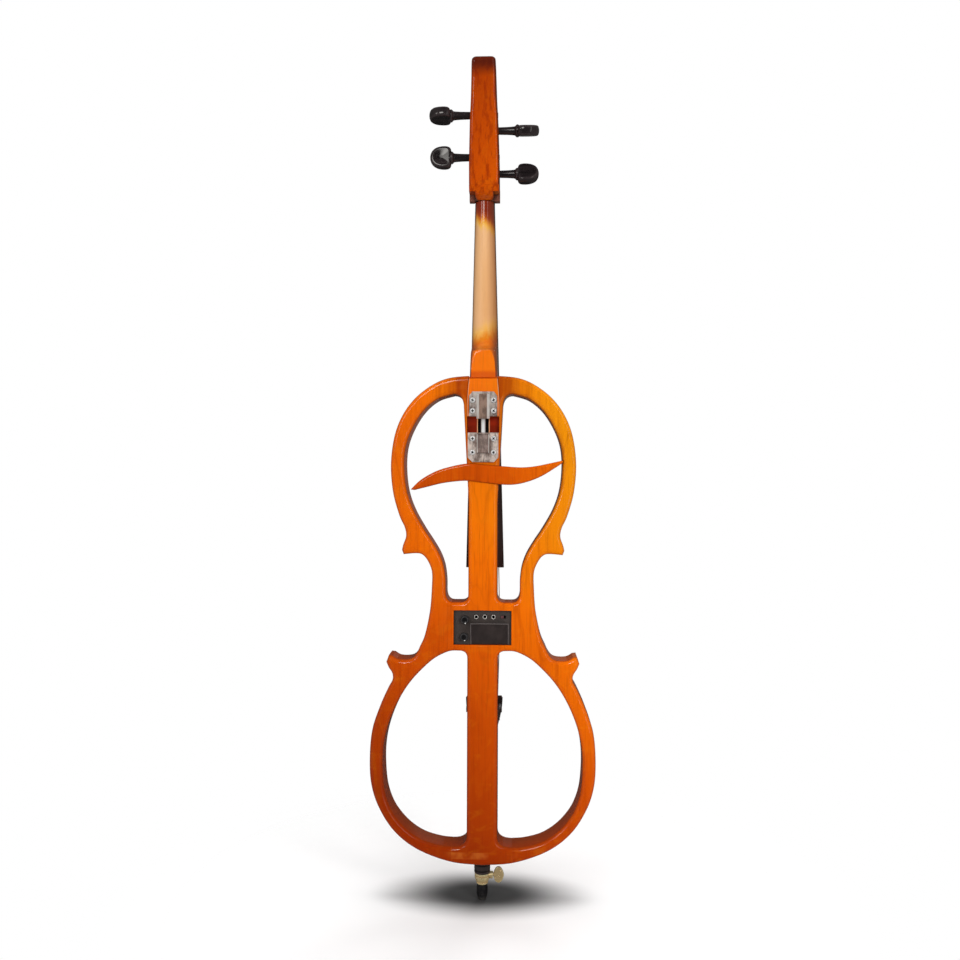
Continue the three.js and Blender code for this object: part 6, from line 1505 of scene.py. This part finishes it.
def build_pin():
    low, high = node_span("endpin_rod")
    end = PIN_RADIUS - PIN_FOOT
    profile = [(end, low), (PIN_RADIUS, low + PIN_FOOT), (PIN_RADIUS, high - PIN_HEAD), (end, high)]
    show(make_object("endpin_rod_turned", on_pin(lathe(profile, "z", 48))), chrome, "endpin_rod")
    foot = node_span("endpin_tip")[0]
    profile = [(out * TIP_RADIUS, foot + rise * TIP_HEIGHT) for out, rise in TIP_PROFILE]
    profile.append((0.1, profile[-1][1]))
    show(make_object("endpin_tip_moulded", on_pin(lathe(profile, "z", 56))), rubber, "endpin_tip")


for build in (build_frame, build_bar, build_neck, build_fingerboard, build_pegbox, build_pegs, build_bridge,
              build_tailpiece, build_tuners, build_strings, build_tail_cord, build_bracket, build_screws,
              build_controls, build_collar, build_thumb_screw, build_pin):
    build()


# Studio
FLOOR_LEVEL = cad_box[0].z
FLOOR_RADII, FLOOR_SIDES, FLOOR_FADE = (1, 300, 600, 900), 64, (0.24, 0.6)
SHADOW_WIDTH, SHADOW_DEPTH, SHADOW_BACK = 0.19, 0.1, 0.004
AMBIENT = 0.42
DRAPE_RADIUS, DRAPE_DROP = 4000, 0.45
# Windows that gloss sees: from and to in degrees from the camera's side, from and to above level, strength
GLOSS_WINDOWS = [(-20, -5, 12, 26, 8), (-44, -32, 8, 22, 4), (32, 36, -15, 30, 3), (164, 181, -14, 16, 0.07)]
WINDOW_SOFTNESS = 2.5


def build_floor():
    """A pale round floor that fades into the white around it and stays under the endpin's tip, with a soft
    painted shadow under the cello as well as the shadow that the lamps cast.
    """
    turns = [2 * math.pi * i / FLOOR_SIDES for i in range(FLOOR_SIDES)]
    form = loft([[(radius * math.cos(a), radius * math.sin(a) + PIN_AXIS, 0) for a in turns]
                 for radius in FLOOR_RADII], capped=False)
    form.faces.append(tuple(range(FLOOR_SIDES)))
    floor = make_object("floor", form)
    floor.data.transform(Matrix.Translation(Vector((0, 0, FLOOR_LEVEL + ORIGIN.z * MM))))
    f = Finish("floor_paint")
    y = f.y + SHADOW_BACK
    reach = (f.x * f.x + y * y) ** 0.5
    wide, deep = f.x / SHADOW_WIDTH, y / SHADOW_DEPTH
    # A painted shadow: a soft dark ellipse on the floor under the cello
    painted_shadow = 1 - ((wide * wide + deep * deep) ** 0.5).within(0.25, 1.0)
    paint = f.mix(painted_shadow * 0.95, (250, 250, 250), (40, 40, 40))
    ground = f.node("BsdfDiffuse", {}, {"Color": paint})
    clear = f.node("BsdfTransparent", {}, {})
    both = f.node("MixShader", {}, {0: reach.within(*FLOOR_FADE), 1: ground, 2: clear})
    f.tree.links.new(both.socket, f.output.inputs["Surface"])
    floor.data.materials.append(f.material)
    floor.visible_glossy = False
    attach(floor, BODY_OF["endpin_rod"])


def between(value, low, high):
    """1 between two values, with soft ends."""
    soft = WINDOW_SOFTNESS
    return value.within(low - soft, low + soft) - value.within(high - soft, high + soft)


def build_gloss_studio():
    """A dark round drape with soft windows that only gloss sees."""
    f = Finish("studio_drape")
    reach = (f.x * f.x + f.y * f.y + f.z * f.z) ** 0.5
    turn = f.node("Math", {"operation": "ARCTAN2"}, {0: f.x, 1: f.y * -1}) * (180 / math.pi)
    rise = f.node("Math", {"operation": "ARCSINE"}, {0: f.z / reach}) * (180 / math.pi)
    level = (abs(turn).within(12, 40) - abs(turn).within(110, 150) * 0.85) * 0.1 + 0.035
    for left, right, low, high, strength in GLOSS_WINDOWS:
        level = level + between(turn, left, right) * between(rise, low, high) * strength
    glow = f.node("Emission", {}, {"Color": color(255, 252, 246), "Strength": level})
    f.tree.links.new(glow.socket, f.output.inputs["Surface"])
    rings = []
    for tilt in (math.radians(-90 + 7.5 * i) for i in range(1, 24)):
        radius, height = DRAPE_RADIUS * math.cos(tilt), DRAPE_RADIUS * math.sin(tilt)
        turns = [2 * math.pi * k / 48 for k in range(48)]
        rings.append([(radius * math.cos(a), radius * math.sin(a), height) for a in turns])
    drape = make_object("studio_drape", loft(rings).at(*ORIGIN))
    drape.location = (0, 0, -DRAPE_DROP)
    drape.data.materials.append(f.material)
    drape.visible_camera = drape.visible_diffuse = drape.visible_shadow = False
    drape.visible_transmission = drape.visible_volume_scatter = False


def build_world():
    """White where the camera, gloss and glass look, and a plain level elsewhere."""
    world = bpy.data.worlds.new("studio")
    world.use_nodes = True
    bpy.context.scene.world = world
    nodes, links = world.node_tree.nodes, world.node_tree.links
    nodes.clear()
    path = nodes.new("ShaderNodeLightPath")
    seen = path.outputs["Is Camera Ray"]
    for name in ("Is Glossy Ray", "Is Transmission Ray"):
        both = nodes.new("ShaderNodeMath")
        both.operation = "MAXIMUM"
        links.new(seen, both.inputs[0])
        links.new(path.outputs[name], both.inputs[1])
        seen = both.outputs[0]
    level = nodes.new("ShaderNodeMapRange")
    level.inputs["To Min"].default_value = AMBIENT
    links.new(seen, level.inputs["Value"])
    light = nodes.new("ShaderNodeBackground")
    light.inputs["Color"].default_value = (1, 1, 1, 1)
    links.new(level.outputs[0], light.inputs["Strength"])
    output = nodes.new("ShaderNodeOutputWorld")
    links.new(light.outputs[0], output.inputs["Surface"])


def lamp(name, kind, place, target, power, width, height=None):
    """A rectangular lamp, or a sun whose width is its angle."""
    data = bpy.data.lights.new(name, kind)
    data.energy = power
    if kind == "AREA":
        data.shape, data.size, data.size_y = "RECTANGLE", width, height
    else:
        data.angle = width
    piece = link_object(name, data)
    piece.visible_glossy = False
    piece.location = place
    piece.rotation_mode = "QUATERNION"
    piece.rotation_quaternion = (Vector(target) - Vector(place)).to_track_quat("-Z", "Y")


build_floor()
build_gloss_studio()
build_world()
lamp("key", "AREA", (1.5, -2.3, 0.5), (0, 0, -0.5), 34, 1.0, 1.8)
lamp("fill", "AREA", (-1.7, -2.0, -0.1), (0, 0, -0.55), 17, 1.2, 1.8)
lamp("rear", "AREA", (0.8, 2.6, 0.7), (0, 0, -0.5), 34, 1.4, 1.8)
lamp("overhead", "SUN", (0.02, -0.1, 3), (0, 0, -1), 1.0, 0.42)

bpy.context.scene.view_settings.view_transform = "Standard"
